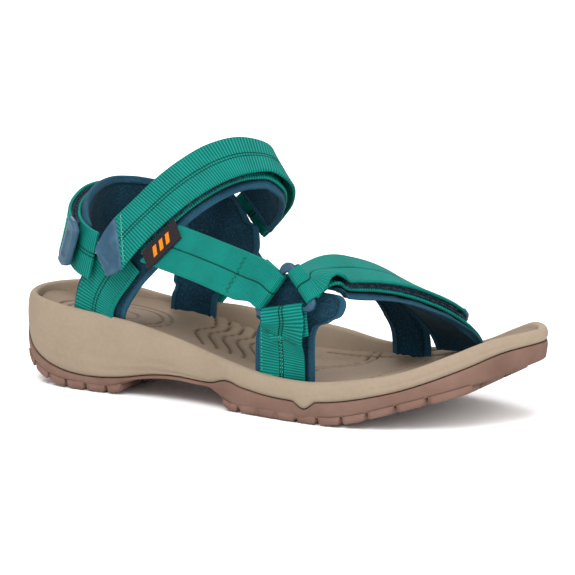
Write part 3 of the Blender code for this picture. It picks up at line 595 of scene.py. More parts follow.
def label_look():
    """A woven tag: charcoal ground, one plain orange motif of three slanted bars."""
    look = Look("label_weave", roughness=0.85, sheen=0.05, specular=0.1)
    lay = look.lay()
    parts = look.split(lay)
    along, across = parts["X"], parts["Y"]
    centre = look.math("SUBTRACT", along, LABEL_MIDDLE)
    slant = look.math("ADD", centre, look.math("MULTIPLY", across, -0.6))
    stripes = look.math("PINGPONG", look.math("ADD", slant, 2.0), 2.0)
    bars = look.math("GREATER_THAN", stripes, 0.9)
    inside = look.math("MULTIPLY", look.math("LESS_THAN", look.math("ABSOLUTE", slant, 0.0), 6.0),
                       look.math("LESS_THAN", look.math("ABSOLUTE", across, 0.0), 2.4))
    threads_x = look.wave(lay, 0.35, "X")
    threads_y = look.wave(lay, 0.35, "Y")
    weave = look.math("MULTIPLY", threads_x, threads_y)
    ground = look.ramp(weave, (0.2, (0.01, 0.007, 0.009)), (0.9, (0.042, 0.03, 0.034)))
    motif = look.ramp(weave, (0.2, (0.55, 0.15, 0.003)), (0.9, (0.8, 0.27, 0.008)))
    look.colour(look.mix(look.math("MULTIPLY", bars, inside), ground, motif))
    look.bump(weave, 0.7, 0.15)
    return look.material


def thread_look(name, dark, light):
    """Twisted sewing thread."""
    look = Look(name, roughness=0.6, sheen=0.0, specular=0.15)
    twist = look.noise(look.place(), 3000.0, 2.0)
    look.colour(look.ramp(twist, (0.3, dark), (0.7, light)))
    look.bump(twist, 0.5, 0.08)
    return look.material


def rubber_look():
    """Outsole rubber: matte, finely grained, dusty where it scuffs."""
    look = Look("tread_rubber", roughness=0.82, specular=0.15)
    place = look.place()
    grain = look.noise(place, 900.0, 4.0)
    blotch = look.noise(place, 45.0, 5.0)
    look.colour(look.ramp(blotch, (0.25, (0.118, 0.066, 0.05)), (0.5, (0.15, 0.087, 0.067)),
                          (0.8, (0.19, 0.115, 0.09))))
    look.rough(grain, 0.7, 0.92)
    look.bump(grain, 0.4, 0.15)
    return look.material


ROLL_SEAM = 3.3
LABEL_MIDDLE = 10.6
GREENS = ((0.0006, 0.062, 0.051), (0.0012, 0.142, 0.117), (0.009, 0.24, 0.2))
GREEN_WEB = webbing_look("green_ribbed_webbing", *GREENS, line_at=0.85)
GREEN_FLAT = webbing_look("green_flat_webbing", *GREENS, line_at=0.0, rib=0.62, depth=0.1)
KNIT = knit_look("navy_knit", (0.002, 0.011, 0.02), (0.005, 0.026, 0.045), (0.014, 0.058, 0.092))
LOOPS = pile_look("loop_pile", (0.003, 0.007, 0.014), (0.012, 0.03, 0.05), (0.04, 0.08, 0.12),
                  700)
HOOKS = pile_look("hook_pile", (0.002, 0.005, 0.01), (0.008, 0.02, 0.035), (0.03, 0.055, 0.08),
                  900)
EVA = foam_look("midsole_foam", (0.215, 0.165, 0.118), (0.25, 0.195, 0.142), (0.285, 0.225, 0.165),
                1100.0, 0.12)
# The footbed's lines colour is painted shade for its grooves.
BED = foam_look("footbed_foam", (0.185, 0.138, 0.1), (0.22, 0.165, 0.12), (0.255, 0.195, 0.145),
                1300.0, 0.16, lines=(0.045, 0.03, 0.02))
TRIM = plastic_look("blue_trim", (0.011, 0.044, 0.079), (0.018, 0.06, 0.101), (0.032, 0.085, 0.13), 0.42)
SHANK_LOOK = plastic_look("shank_plastic", (0.02, 0.02, 0.024), (0.04, 0.04, 0.045),
                          (0.07, 0.07, 0.075), 0.5)
SHOCK = foam_look("shock_foam", (0.03, 0.075, 0.13), (0.05, 0.11, 0.19), (0.08, 0.16, 0.26),
                  900.0, 0.15)
RUBBER = rubber_look()
LABEL_LOOK = label_look()
PALE_THREAD = thread_look("pale_green_thread", (0.03, 0.27, 0.2), (0.09, 0.42, 0.31))
GREEN_THREAD = thread_look("green_thread", (0.0008, 0.055, 0.042), (0.003, 0.14, 0.11))


# ---------------------------------------------------------------- sole

def outline(fine):
    """The sole's outline as a closed loop of 42 * fine points, with outward normals."""
    lateral = list(zip(OUTLINE_X, OUTLINE_LATERAL))
    medial = list(zip(OUTLINE_X, OUTLINE_MEDIAL))
    corners = medial + lateral[-2:0:-1]
    wrapped = corners[-2:] + corners + corners[:2]
    loop = spline(wrapped, fine)[2 * fine:(len(corners) + 2) * fine]
    along = np.roll(loop, -1, axis=0) - np.roll(loop, 1, axis=0)
    return loop, unit(np.stack([-along[:, 1], along[:, 0]], axis=1))


ground_level = smooth_height(GROUND)
smooth_feather = smooth_height(FEATHER)


def feather_level(x):
    """The seam between midsole and outsole, with a low peak and a notch at the forefoot."""
    x = np.asarray(x, float)
    return smooth_feather(x) + 1.6 * bell(x - 124, 9) - 3.2 * bell(x - 167, 6.5)


floor_level = smooth_height(FOOTBED_FLOOR)
rim_low = smooth_height(RIM_LATERAL)
rim_high = smooth_height(RIM_MEDIAL)
SOLE_FINE = 16
LOOP, NORMAL = outline(SOLE_FINE)


def rim_level(x, y):
    """The top of the foam rim, between its lateral and medial heights."""
    share = np.clip((y + 35.0) / 70.0, 0.0, 1.0)
    return rim_low(x) + (rim_high(x) - rim_low(x)) * share


def ring(inset, level):
    """The sole's outline moved inwards, at the height that level gives."""
    moved = LOOP - NORMAL * inset
    x, y = moved.T
    return np.stack([x, y, level(x, y)], axis=1)


def loft(rings, per_span):
    """Rings through the given ones on smooth curves."""
    count = len(rings[0])
    rows = spline([r.ravel() for r in rings], per_span)
    return rows.reshape(-1, count, 3)


def across_grid(edge, columns):
    """A grid of points that fills a ring from its lateral to its medial side."""
    half = len(edge) // 2
    medial = edge[1:half]
    lateral = edge[:half:-1]
    share = np.linspace(0, 1, columns + 1)[None, :, None]
    return lateral[:, None, :] * (1 - share) + medial[:, None, :] * share


def midsole_piece():
    """The foam from the tread up to its rounded rim, with soft lines along its side."""
    def side(share):
        return lambda x, y: (feather_level(x) + FIT_GAP
                             + share * (rim_level(x, y) - feather_level(x) - FIT_GAP))

    def sunk(x, y):
        return np.minimum(floor_level(x) + FOOTBED, rim_level(x, y) - RIM_DROP) - FOOTBED - 1.35

    bottom = [ring(6.0, side(0.0)), ring(1.9, side(0.0))]
    wall = loft([ring(1.1, side(0.02)), ring(0.45, side(0.12)), ring(0.1, side(0.35)),
                 ring(0.25, side(0.62)), ring(0.8, side(0.85)), ring(1.45, side(0.955)),
                 ring(2.5, side(1.0)), ring(3.7, lambda x, y: rim_level(x, y) - 0.1),
                 ring(4.6, lambda x, y: rim_level(x, y) - 0.75),
                 ring(5.0, lambda x, y: rim_level(x, y) - 1.9), ring(5.4, sunk)], 4)
    rings = np.concatenate([np.array(bottom), wall])
    x, y, z = rings[..., 0], rings[..., 1], rings[..., 2]
    share = (z - feather_level(x)) / (rim_level(x, y) - feather_level(x))
    outer = np.zeros(rings.shape[:2])
    outer[4:30] = 1.0  # the rings of the outer side, below the rim's top
    fade = np.clip((x - 6) / 10, 0, 1) * np.clip((112 - x) / 16, 0, 1)
    upper_line = 0.42 - 0.16 * np.clip((x - 10) / 90, 0, 1)
    lower_line = 0.2 - 0.1 * np.clip((x - 10) / 90, 0, 1)
    cut = 0.45 * bell(share - upper_line, 0.06) + 0.35 * bell(share - lower_line, 0.055)
    front = np.clip((x - 196) / 12, 0, 1) * np.clip((256 - x) / 10, 0, 1)
    cut = cut * fade + 0.3 * bell(share - 0.45, 0.07) * front
    normals = np.broadcast_to(NORMAL[None], (*rings.shape[:2], 2))
    rings[..., :2] -= normals * (cut * outer)[..., None]
    count = rings.shape[1]
    points = rings.reshape(-1, 3)
    faces = tube_faces(len(rings), count)[:-2]
    for base, flip in ((0, True), ((len(rings) - 1) * count, False)):
        faces += cap_faces(base, count, flip)
    return piece("midsole_shell", points, faces, EVA, replaces=("midsole",))


def cap_faces(base, count, flip):
    """Quads across a ring, from each point to its partner on the other side."""
    half = count // 2
    faces = [(base, base + 1, base + count - 1)]
    for i in range(1, half - 1):
        faces.append((base + i, base + i + 1, base + count - i - 1, base + count - i))
    faces.append((base + half - 1, base + half, base + half + 1))
    return [f[::-1] for f in faces] if flip else faces


def outsole_piece():
    """The rubber wall and its lip, with the lugs under it."""
    def mid(x, y):
        return 0.5 * (ground_level(x) + feather_level(x))

    def base(x, y):
        return np.minimum(ground_level(x) + TREAD_DEPTH, feather_level(x) - 1.2)

    wall = loft([ring(2.2, base), ring(1.0, lambda x, y: base(x, y) + 0.5),
                 ring(0.5, lambda x, y: np.maximum(mid(x, y), base(x, y) + 0.8)),
                 ring(0.25, lambda x, y: feather_level(x) - 0.9),
                 ring(0.45, lambda x, y: feather_level(x) - 0.25),
                 ring(1.2, lambda x, y: feather_level(x)),
                 ring(3.0, lambda x, y: feather_level(x))], 3)
    count = wall.shape[1]
    points = [wall.reshape(-1, 3)]
    faces = tube_faces(len(wall), count)[:-2]
    faces += cap_faces(0, count, True) + cap_faces((len(wall) - 1) * count, count, False)
    total = len(points[0])
    for block, block_faces in tread_blocks():
        faces += [tuple(k + total for k in f) for f in block_faces]
        points.append(block)
        total += len(block)
    return piece("tread_outsole", np.vstack(points), faces, RUBBER, replaces=("outsole",))


def half_width_at(x, table):
    """Y of the sole's edge at x, from one side's table."""
    fine = spline(list(zip(OUTLINE_X, table)), 8)
    return np.interp(x, fine[:, 0], fine[:, 1])


def tread_blocks():
    """Lugs between the grooves: an outer, a middle and an inner one in each row."""
    rows = []
    for grooves, (first, last) in ((HEEL_GROOVES, HEEL_TREAD),
                                   (FOREFOOT_GROOVES, FOREFOOT_TREAD)):
        edges = (first, *grooves, last)
        rows += [(a + GROOVE_WIDTH / 2, b - GROOVE_WIDTH / 2) for a, b in zip(edges, edges[1:])]
    blocks = []
    for index, (low, high) in enumerate(rows):
        blocks += [lug(low, high, part, LUG_SPLITS[index % 2]) for part in range(3)]
    return blocks


def lug(low, high, part, splits):
    """One block with rounded corners and drafted sides, from the tread to inside the sole."""
    steps = 7
    xs = np.linspace(low, high, steps)
    lateral = half_width_at(xs, OUTLINE_LATERAL) + LUG_INSET
    medial = half_width_at(xs, OUTLINE_MEDIAL) - LUG_INSET
    gap = LUG_GAP / 2
    lean = LUG_BOW * np.sin(np.linspace(0, math.pi, steps))
    cut_a = splits[0] + lean
    cut_b = splits[1] + lean
    sides = ((lateral, cut_a - gap), (cut_a + gap, cut_b - gap), (cut_b + gap, medial))[part]
    loop = np.array(list(zip(xs, sides[0])) + list(zip(xs, sides[1]))[::-1])
    middle = loop.mean(axis=0)
    size = np.maximum(np.ptp(loop, axis=0), 1.0)
    levels = ((1.1, 0.0), (0.45, 0.14), (0.08, 0.5), (-0.15, 1.2), (-0.45, TREAD_DEPTH + 0.6))
    points = []
    for inset, rise in levels:
        scale = 1 - 2 * inset / size
        flat = middle + (loop - middle) * scale
        z = np.maximum(ground_level(flat[:, 0]), 0.0) + rise
        z = np.minimum(z, feather_level(flat[:, 0]) - 0.6 + 0.01 * rise)
        points.append(np.column_stack([flat, z]))
    return np.vstack(points), tube_faces(len(levels), len(loop))


def groove_curves():
    """Lines moulded into the footbed: points, half width and depth of each, in millimetres."""
    curves = []
    for reach, half, depth in ((29.0, 22.0, 1.3), (*OVAL_REACH, 1.3), (12.0, 8.5, 0.9)):
        angle = np.linspace(0, 2 * math.pi, 56)
        oval = np.column_stack([reach * np.cos(angle), half * np.sin(angle)]) + OVAL_MIDDLE
        curves.append((oval, 0.75, depth))
    t = np.linspace(0, 1, 30)
    for k in range(5):
        x = 80 + 7.0 * k + 3.5 * np.sin(t * 7.5 + 0.3 * k)
        curves.append((np.column_stack([x + 14 * t, 27 - 40 * t]), 1.1, 1.4))
    edge = ((120, -28), (140, -33), (160, -36.5), (185, -37), (205, -34), (225, -25), (240, -12),
            (246, 2), (246, 16), (238, 28), (222, 36), (200, 38.5), (178, 36.5), (160, 31),
            (142, 26))
    curves.append((spline(edge, 6), 0.9, 1.3))
    arc = np.array(((150, -24), (147.5, -11), (148.6, 1), (158, 13.6), (162.4, 36)))
    for shift in (0.0, 3.4):
        curves.append((spline(arc + (shift, 0.0), 8), 0.7, 1.2))
    front = ((158, -33), (165.5, -26.5), (178, -17.4), (183.4, 2.4), (189.3, 27.8), (190, 36))
    curves.append((spline(front, 8), 0.7, 1.2))
    return curves


def distance_to(curve, x, y):
    """Distance from each (x, y) to a polyline."""
    best = np.full(x.shape, 1e9)
    for a, b in zip(curve, curve[1:]):
        d = b - a
        t = np.clip(((x - a[0]) * d[0] + (y - a[1]) * d[1]) / max(d @ d, 1e-9), 0, 1)
        best = np.minimum(best, np.hypot(x - a[0] - t * d[0], y - a[1] - t * d[1]))
    return best


def footbed_piece():
    """The moulded insert: a grid from edge to edge, dished, with grooves and a dot pattern."""
    edge = LOOP - NORMAL * (RIM_WIDTH + 0.45)
    grid = across_grid(edge, FOOTBED_COLUMNS)
    x, y = grid[..., 0], grid[..., 1]
    share = np.linspace(-1, 1, FOOTBED_COLUMNS + 1)[None, :]
    rise = np.clip((np.abs(share) - 0.72) / 0.28, 0, 1) ** 2
    ends = np.clip(1 - (x - 5) / 12, 0, 1) ** 2 + np.clip(1 - (254 - x) / 12, 0, 1) ** 2
    top = floor_level(x) + FOOTBED * np.maximum(rise, ends)
    top = np.minimum(top, rim_level(x, y) - RIM_DROP)
    sunk = np.zeros(x.shape)
    for curve, half, depth in groove_curves():
        dip = bell(distance_to(curve, x, y), half)
        top = top - depth * dip
        # sunk keeps each groove's depth, which drives the painted shade in the grooves.
        sunk = np.maximum(sunk, depth * dip ** 2)
    oval = np.hypot((x - OVAL_MIDDLE[0]) / OVAL_REACH[0], (y - OVAL_MIDDLE[1]) / OVAL_REACH[1])
    spots = 0.5 + 0.5 * np.cos(2 * math.pi * x / 3.4) * np.cos(2 * math.pi * y / 3.4)
    top = top + 0.45 * spots ** 3 * bell(oval - 0.78, 0.18)
    ripple = 0.16 * np.sin(2 * math.pi * (x + 0.5 * y) / 3.0) * np.sin(2 * math.pi * y / 3.0)
    top = top + ripple * np.clip((x - 128) / 8, 0, 1) * np.clip((240 - x) / 10, 0, 1)
    bottom = floor_level(x) - FOOTBED
    rows, columns = x.shape
    upper = np.stack([x, y, top], axis=-1).reshape(-1, 3)
    lower = np.stack([x, y, bottom], axis=-1).reshape(-1, 3)
    lay = np.zeros((2 * rows * columns, 3))
    # The top's lay X carries the groove depth for the painted shade.
    lay[:rows * columns, 0] = sunk.ravel()
    under = rows * columns
    k = (np.arange(rows - 1)[:, None] * columns + np.arange(columns - 1)).ravel()
    square = np.stack([k, k + columns, k + columns + 1, k + 1], axis=-1)
    flipped = under + square[:, [0, 3, 2, 1]]
    faces = np.stack([square, flipped], axis=1).reshape(-1, 4).tolist()
    rim = ([j for j in range(columns)] + [i * columns + columns - 1 for i in range(1, rows)]
           + [(rows - 1) * columns + j for j in range(columns - 2, -1, -1)]
           + [i * columns for i in range(rows - 2, 0, -1)])
    for a, b in zip(rim, rim[1:] + rim[:1]):
        faces.append((a, b, under + b, under + a))
    return piece("footbed_insert", np.vstack([upper, lower]), faces, BED,
                 replaces=("footbed",), lay=lay)


midsole_piece()
outsole_piece()
footbed_piece()
for node, look in (("shank", SHANK_LOOK), ("heel_shock_pad", SHOCK)):
    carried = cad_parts[node]
    carried.data.materials.clear()
    carried.data.materials.append(look)


# ---------------------------------------------------------------- link

def rounded_triangle(corners, radius, steps):
    """Points round a triangle whose corners are arcs."""
    corners = [np.array(c, float) for c in corners]
    points = []
    for i, corner in enumerate(corners):
        back, forth = unit(corners[i - 1] - corner), unit(corners[(i + 1) % 3] - corner)
        half = np.arccos(back @ forth) / 2
        reach = radius / np.tan(half)
        centre = corner + unit(back + forth) * radius / np.sin(half)
        start, stop = corner + back * reach - centre, corner + forth * reach - centre
        for share in np.linspace(0, 1, steps):
            points.append(centre + unit(start * (1 - share) + stop * share) * radius)
    return points


LINK_MIDDLE = (np.array(LINK_TOP) + np.array(LINK_REAR) + np.array(LINK_FRONT)) / 3.0
link_plane = unit(np.cross(np.array(LINK_REAR) - LINK_TOP, np.array(LINK_FRONT) - LINK_TOP))


def link_piece():
    """A moulded three-sided ring: rounded square section, thicker at the corners."""
    arc_steps, side_steps, round_steps = 8, 14, 20
    arcs = rounded_triangle((LINK_TOP, LINK_REAR, LINK_FRONT), LINK_BLUNT, arc_steps)
    middle = []
    for k, point in enumerate(arcs):
        following = arcs[(k + 1) % len(arcs)]
        middle.append(point)
        if (k + 1) % arc_steps == 0:
            middle += [point + (following - point) * f
                       for f in np.linspace(0, 1, side_steps)[1:-1]]
    middle = np.array(middle)
    ahead = unit(np.roll(middle, -1, axis=0) - np.roll(middle, 1, axis=0))
    corners = np.array((LINK_TOP, LINK_REAR, LINK_FRONT), float)
    near = np.linalg.norm(middle[:, None, :] - corners[None], axis=2).min(axis=1)
    corner = bell(near, LINK_REACH)[:, None]
    out = unit(np.cross(ahead, link_plane))
    out *= np.sign(np.sum(out * (middle - LINK_MIDDLE), axis=1))[:, None]
    angles = np.linspace(0, 2 * math.pi, round_steps, endpoint=False)
    squareness = 1 / (np.abs(np.cos(angles)) ** 3 + np.abs(np.sin(angles)) ** 3) ** (1 / 3)
    ridge = 1 - 0.07 * bell(np.sin(angles), 0.2) * (np.cos(angles) > 0)
    reach = squareness * ridge * LINK_ROD / 2
    wide = np.cos(angles) * reach * (1 + np.where(np.cos(angles) > 0, 1.5, 0.9) * corner)
    thick = np.sin(angles) * reach * (1 + 0.45 * corner)
    points = (middle[:, None, :] + out[:, None, :] * wide[:, :, None]
              + link_plane * thick[:, :, None])
    rows, count = points.shape[:2]
    i, j = np.meshgrid(np.arange(rows), np.arange(count), indexing="ij")
    n, m = (i + 1) % rows, (j + 1) % count
    faces = np.stack([i * count + j, i * count + m, n * count + m, n * count + j], axis=-1)
    return piece("triangle_link", points.reshape(-1, 3), faces.reshape(-1, 4), TRIM,
                 replaces=("strap_link",))


def bar_fold(low, high, outward):
    """Stations round one bar of the link, from outside it to inside it."""
    low, high = np.array(low, float), np.array(high, float)
    middle = (low + high) / 2
    along = unit(high - low)
    facing = np.array(outward, float)
    facing = unit(facing - along * (facing @ along))
    through = unit(np.cross(facing, along))
    if through @ (LINK_MIDDLE - middle) < 0:
        through = -through
    radius = (LINK_ROD + WEBBING) / 2 + FIT_GAP
    turn = [(tuple(middle + facing * radius - through * FOLD_LEAD), tuple(facing), tuple(along))]
    for angle in np.radians((0, 30, 60, 90, 120, 150, 180)):
        here = facing * np.cos(angle) + through * np.sin(angle)
        turn.append((tuple(middle + here * radius), tuple(here), tuple(along)))
    return turn, through


def tail(turn, through):
    """A fold's stations, carried on as a sewn-down tail inside the strap."""
    place, facing, along = turn[-1]
    return turn + [(tuple(np.array(place) - through * FOLD_TAIL * share), facing, along)
                   for share in (0.4, 1.0)]


link_piece()


# ---------------------------------------------------------------- webbing

def ribbed(groove=0.3, rib=0.13, line_at=0.85, selvedge=0.1, bold=None):
    """Relief of a webbing: cross ribs, sunk seams by its middle and a raised selvedge.

    bold is (from, to, height): the ribs are that high between these distances.
    """
    def relief(s, v, share, side):
        height_here = rib
        if bold:
            low, high, most = bold
            near = np.clip((s - low) / 3.0, 0, 1) * np.clip((high - s) / 3.0, 0, 1)
            height_here = rib + (most - rib) * near
        ribs = height_here * (np.abs(np.sin(math.pi * s / RIB_PITCH)) - 0.6)
        lines = groove * bell(np.abs(v) - line_at, 0.6)
        edge = selvedge * bell(np.abs(share) - 0.93, 0.06)
        away = np.clip((1 - np.abs(share)) / 0.06, 0, 1)
        return (ribs - lines) * away + edge
    return relief


def webbing(name, path, start, end, replaces, body="sandal", look=GREEN_WEB, step=RIB_PITCH / 4,
            width=WEBBING_WIDTH, columns=24, relief=ribbed(), **shape):
    """A webbing strip with real ribs."""
    points, faces, lay = sweep(path, start, end, WEBBING, width, step=step, columns=columns,
                               relief=relief, **shape)
    return piece(name, points, faces, look, body, replaces, lay)


pads = []


def pad(name, path, start, end, thickness, width, replaces, step=2.2, **shape):
    """A padded lining: a coarse strip now, puffed and given its rolled edge later."""
    half = width / 2
    near = [1 - reach / half for reach in (0.0, 1.0, 2.2, 3.0, 3.6, 4.6)]
    columns = [-v for v in near] + [-0.45, -0.22, 0.0, 0.22, 0.45] + near[::-1]
    points, faces, lay = sweep(path, start, end, thickness, width, step=step, columns=columns,
                               edged=True, **shape)
    pads.append(piece(name, points, faces, KNIT, None, (replaces,), lay))


def shaped_pad(name, table, facing, replaces, ridges=()):
    """A padded lining from the X of its two edges and its Y at each height.

    Each ridge line is pressed in at (place across, from, to).
    """
    path = Path([(((rear + front) / 2, y, z), (0, facing, 0), (1, 0, 0))
                 for z, rear, front, y in table])
    knots = path.along[::SPAN_STEPS] / path.length
    widths = [front - rear for z, rear, front, y in table]
    profile = smooth_height(list(zip(knots, widths)))(np.linspace(0, 1, 121)) / max(widths)

    def relief(s, v, share, side):
        rise = 0.0 * s
        for place, low, high in ridges:
            rise = rise - 0.8 * bell(v - place, 0.9) * ((s > low) & (s < high))
        return rise
    pad(name, path, 0, path.length, LINER, max(widths), replaces, step=1.5,
        profile=tuple(profile), relief=relief)


def inward(layers):
    """Lifts for the middles of stacked layers, the outermost at 0 and the rest inside it."""
    lifts = [0.0]
    for outer, inner in zip(layers, layers[1:]):
        lifts.append(lifts[-1] - (outer + inner) / 2 - FIT_GAP)
    return lifts


def pile(name, path, ends, lift, thickness, look, body, replaces, skew):
    """Hook or loop tape with a rough face."""
    def rough(s, v, share, side):
        return 0.18 * np.sin(s * 7.1 + v * 3.3) * np.sin(v * 6.7 - s * 2.9)
    points, faces, lay = sweep(path, *ends, thickness, TAPE_WIDTH, lift=lift, step=0.8,
                               columns=20, relief=rough, skew=skew)
    piece(name, points, faces, look, body, (replaces,), lay)


def fibres(name, path, ends, lift, reach, skew):
    """Loose loops of pile along both long edges of a loop tape."""
    start, end = ends
    count = int((end - start) * 5)
    s = rng.uniform(start, end, count)
    sides = rng.choice((-1.0, 1.0), count)
    u = (s - start) / (end - start)
    edge = TAPE_WIDTH / 2
    shifted = s + sides * (skew[0] * (1 - u) + skew[1] * u)
    rise = lift + rng.uniform(-0.7, 0.7, count)
    a = path.at(shifted, sides * (edge - 0.5), rise)
    b = path.at(shifted + rng.uniform(-0.6, 0.6, count), sides * (edge + reach
                * rng.uniform(0.4, 1.0, count)), rise + rng.uniform(-0.4, 0.4, count))
    ups = unit(path.pick(path.outward, shifted))
    points, faces = capsules(a, b, ups, 0.11, 0.25)
    piece(name, points, faces, LOOPS)


def tapes(kind, path, hooks, loops, fringe, lifts, reach, skew=(0.0, 0.0)):
    """A closure's hook tape, the loop tape under it and the fringe at the loop tape's edges.

    hooks, loops and fringe are the two ends of each, and lifts says how far out each lies.
    """
    pile(f"{kind}_hook_tape", path, hooks, lifts[0], HOOK_PILE, HOOKS, f"{kind}_closure",
         f"{kind}_hook_patch", skew)
    pile(f"{kind}_loop_tape", path, loops, lifts[1], LOOP_PILE, LOOPS, "sandal",
         f"{kind}_loop_patch", skew)
    fibres(f"{kind}_loop_fibres", path, fringe, lifts[2], reach, skew)


def tab(kind, path, start, end, window, lift=0.0, **shape):
    """A closure's moulded pull tab: a rounded edge and a recessed window, (from, to) along it."""
    low, high = window

    def relief(s, v, share, side):
        inside = np.clip((s - low) / 1.0, 0, 1) * np.clip((high - s) / 1.0, 0, 1)
        inside = inside * np.clip((0.6 - np.abs(share)) / 0.1, 0, 1)
        bead = 0.25 * bell(np.abs(share) - 0.88, 0.12)
        return np.where(side > 0, bead - 0.75 * inside, 0.0)
    points, faces, lay = sweep(path, start, end, TAB, WEBBING_WIDTH + 0.4, lift=lift, step=0.4,
                               columns=36, relief=relief, edge_steps=8, blunt=0.8, **shape)
    piece(f"{kind}_pull_tab", points, faces, TRIM, f"{kind}_closure", (f"{kind}_tab",), lay)


def blend_at(things):
    """Bakes each piece's transform into its mesh."""
    for thing in things:
        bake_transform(thing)


def centre_stitches(name, path, start, end, body="sandal"):
    """The two rows of stitches by a webbing's middle."""
    runs = rows_of_stitches(start, end, (-0.85, 0.85), 1.5, 1.1)
    return threads(name, path, runs, WEBBING / 2 - 0.16, GREEN_THREAD, body, radius=0.17)


TAPE_WIDTH = WEBBING_WIDTH - 2
OUTER_FACE = WEBBING / 2 + 0.05
HOOK, LOOP_LIFT, BASE = inward((WEBBING, HOOK_PILE, LOOP_PILE, WEBBING))[1:]
LINING_LIFT = inward((WEBBING, LINER))[1] - 0.2


# ---------------------------------------------------------------- posts

def heel_posts():
    """The posts beside the heel: outer with stitched webbing, inner with a ridged panel."""
    outer = Path(REAR_LATERAL_PATH)
    webbing("heel_post_outer_webbing", outer, 8, outer.length, ("rear_lateral_webbing",),
            relief=ribbed(rib=0.1))
    threads("heel_post_outer_stitching", outer,
            rows_of_stitches(20, outer.length - 2, (-9.6, -0.85, 0.85, 9.6), 1.6, 1.1),
            WEBBING / 2 - 0.12, GREEN_THREAD, radius=0.2)
    beside = Path([outer.station(d, LINING_LIFT) for d in (0, 10, 23, 32, 42, 52)]
                  + [((76, -27.8, 73), (0, -0.85, 0.5))])
    pad("heel_post_outer_lining", beside, 8, beside.length, LINER, 32.0, "rear_lateral_lining",
        sideways=-1.4, profile=(1, 1, 1, 0.95, 0.9, 0.9))
    inner = Path(REAR_MEDIAL_PATH)
    webbing("heel_post_inner_webbing", inner, 8, inner.length, ("rear_medial_webbing",))
    shaped_pad("heel_post_inner_lining", REAR_MEDIAL_LINING, 1, "rear_medial_lining",
               ridges=((-8, 14, 34), (-4, 14, 35), (0, 14, 36), (4, 14, 35), (8, 14, 34)))


def forefoot_posts():
    """The posts beside the forefoot: the outer one folds round the link and is bar-tacked."""
    outer = Path(list(FRONT_LATERAL_PATH) + tail(*bar_fold(LINK_REAR, LINK_FRONT, (0, -1, 0.12))))
    webbing("forefoot_post_outer_webbing", outer, 4, outer.length, ("front_lateral_webbing",),
            profile=(1, 1, 1, 1, 0.97, 0.93, 0.9, 0.88, 0.86), columns=44,
            relief=ribbed(groove=0.6, rib=0.28, line_at=0.0))
    threads("forefoot_post_outer_stitching", outer,
            rows_of_stitches(10, 29, (-0.55, 0.55, 10.0), 0.8, 1.2), WEBBING / 2, PALE_THREAD,
            radius=0.17)
    threads("forefoot_post_outer_bar_tack", outer,
            zigzag(28.6, -8.6, -1.2, 1.5, 0.8) + zigzag(28.6, 1.2, 8.6, 1.5, 0.8),
            OUTER_FACE, GREEN_THREAD, radius=0.3)
    shaped_pad("forefoot_post_outer_lining", FRONT_LATERAL_LINING, -1, "front_lateral_lining")
    inner = Path(FRONT_MEDIAL_PATH)
    webbing("forefoot_post_inner_webbing", inner, 4, inner.length, ("front_medial_webbing",),
            width=17.0)
    shaped_pad("forefoot_post_inner_lining", FRONT_MEDIAL_LINING, 1, "front_medial_lining",
               ridges=((-5, 8, 38), (-1.5, 8, 40), (2, 8, 40), (5.5, 8, 38)))


# ---------------------------------------------------------------- side strap and tag

def side_strap():
    """The flat strap from under the tag to the link, folded round its rear bar."""
    path = Path(list(LATERAL_PATH) + tail(*bar_fold(LINK_REAR, LINK_TOP, (-0.05, -0.9, 0.35))))
    webbing("outer_side_strap", path, 10.5, path.length, ("lateral_webbing",), look=GREEN_FLAT,
            skew=(5, 0), profile=(1, 1, 1, 1, 1, 0.98, 0.86, 0.82, 0.8),
            relief=ribbed(groove=0.4, rib=0.04, line_at=0.0, bold=(44, 90, 0.24)))
    threads("outer_side_bar_tack", path, zigzag(57.5, -9.5, 9.5, 1.7, 1.3), OUTER_FACE,
            GREEN_THREAD, radius=0.24)


def side_tag():
    """The woven tag, a stiff fold of tape with a raised hem."""
    def relief(s, v, share, side):
        hem = 0.14 * bell(np.abs(share) - 0.9, 0.1)
        return hem + 0.03 * np.sin(s * 9) * np.sin(v * 9)
    path = Path(LABEL_PATH)
    points, faces, lay = sweep(path, 0, path.length, 0.9, 10.1, step=0.3, columns=40,
                               skew=(1.87, 1.87), relief=relief)
    piece("plain_side_tag", points, faces, LABEL_LOOK, replaces=("side_label",), lay=lay)


# ---------------------------------------------------------------- closures

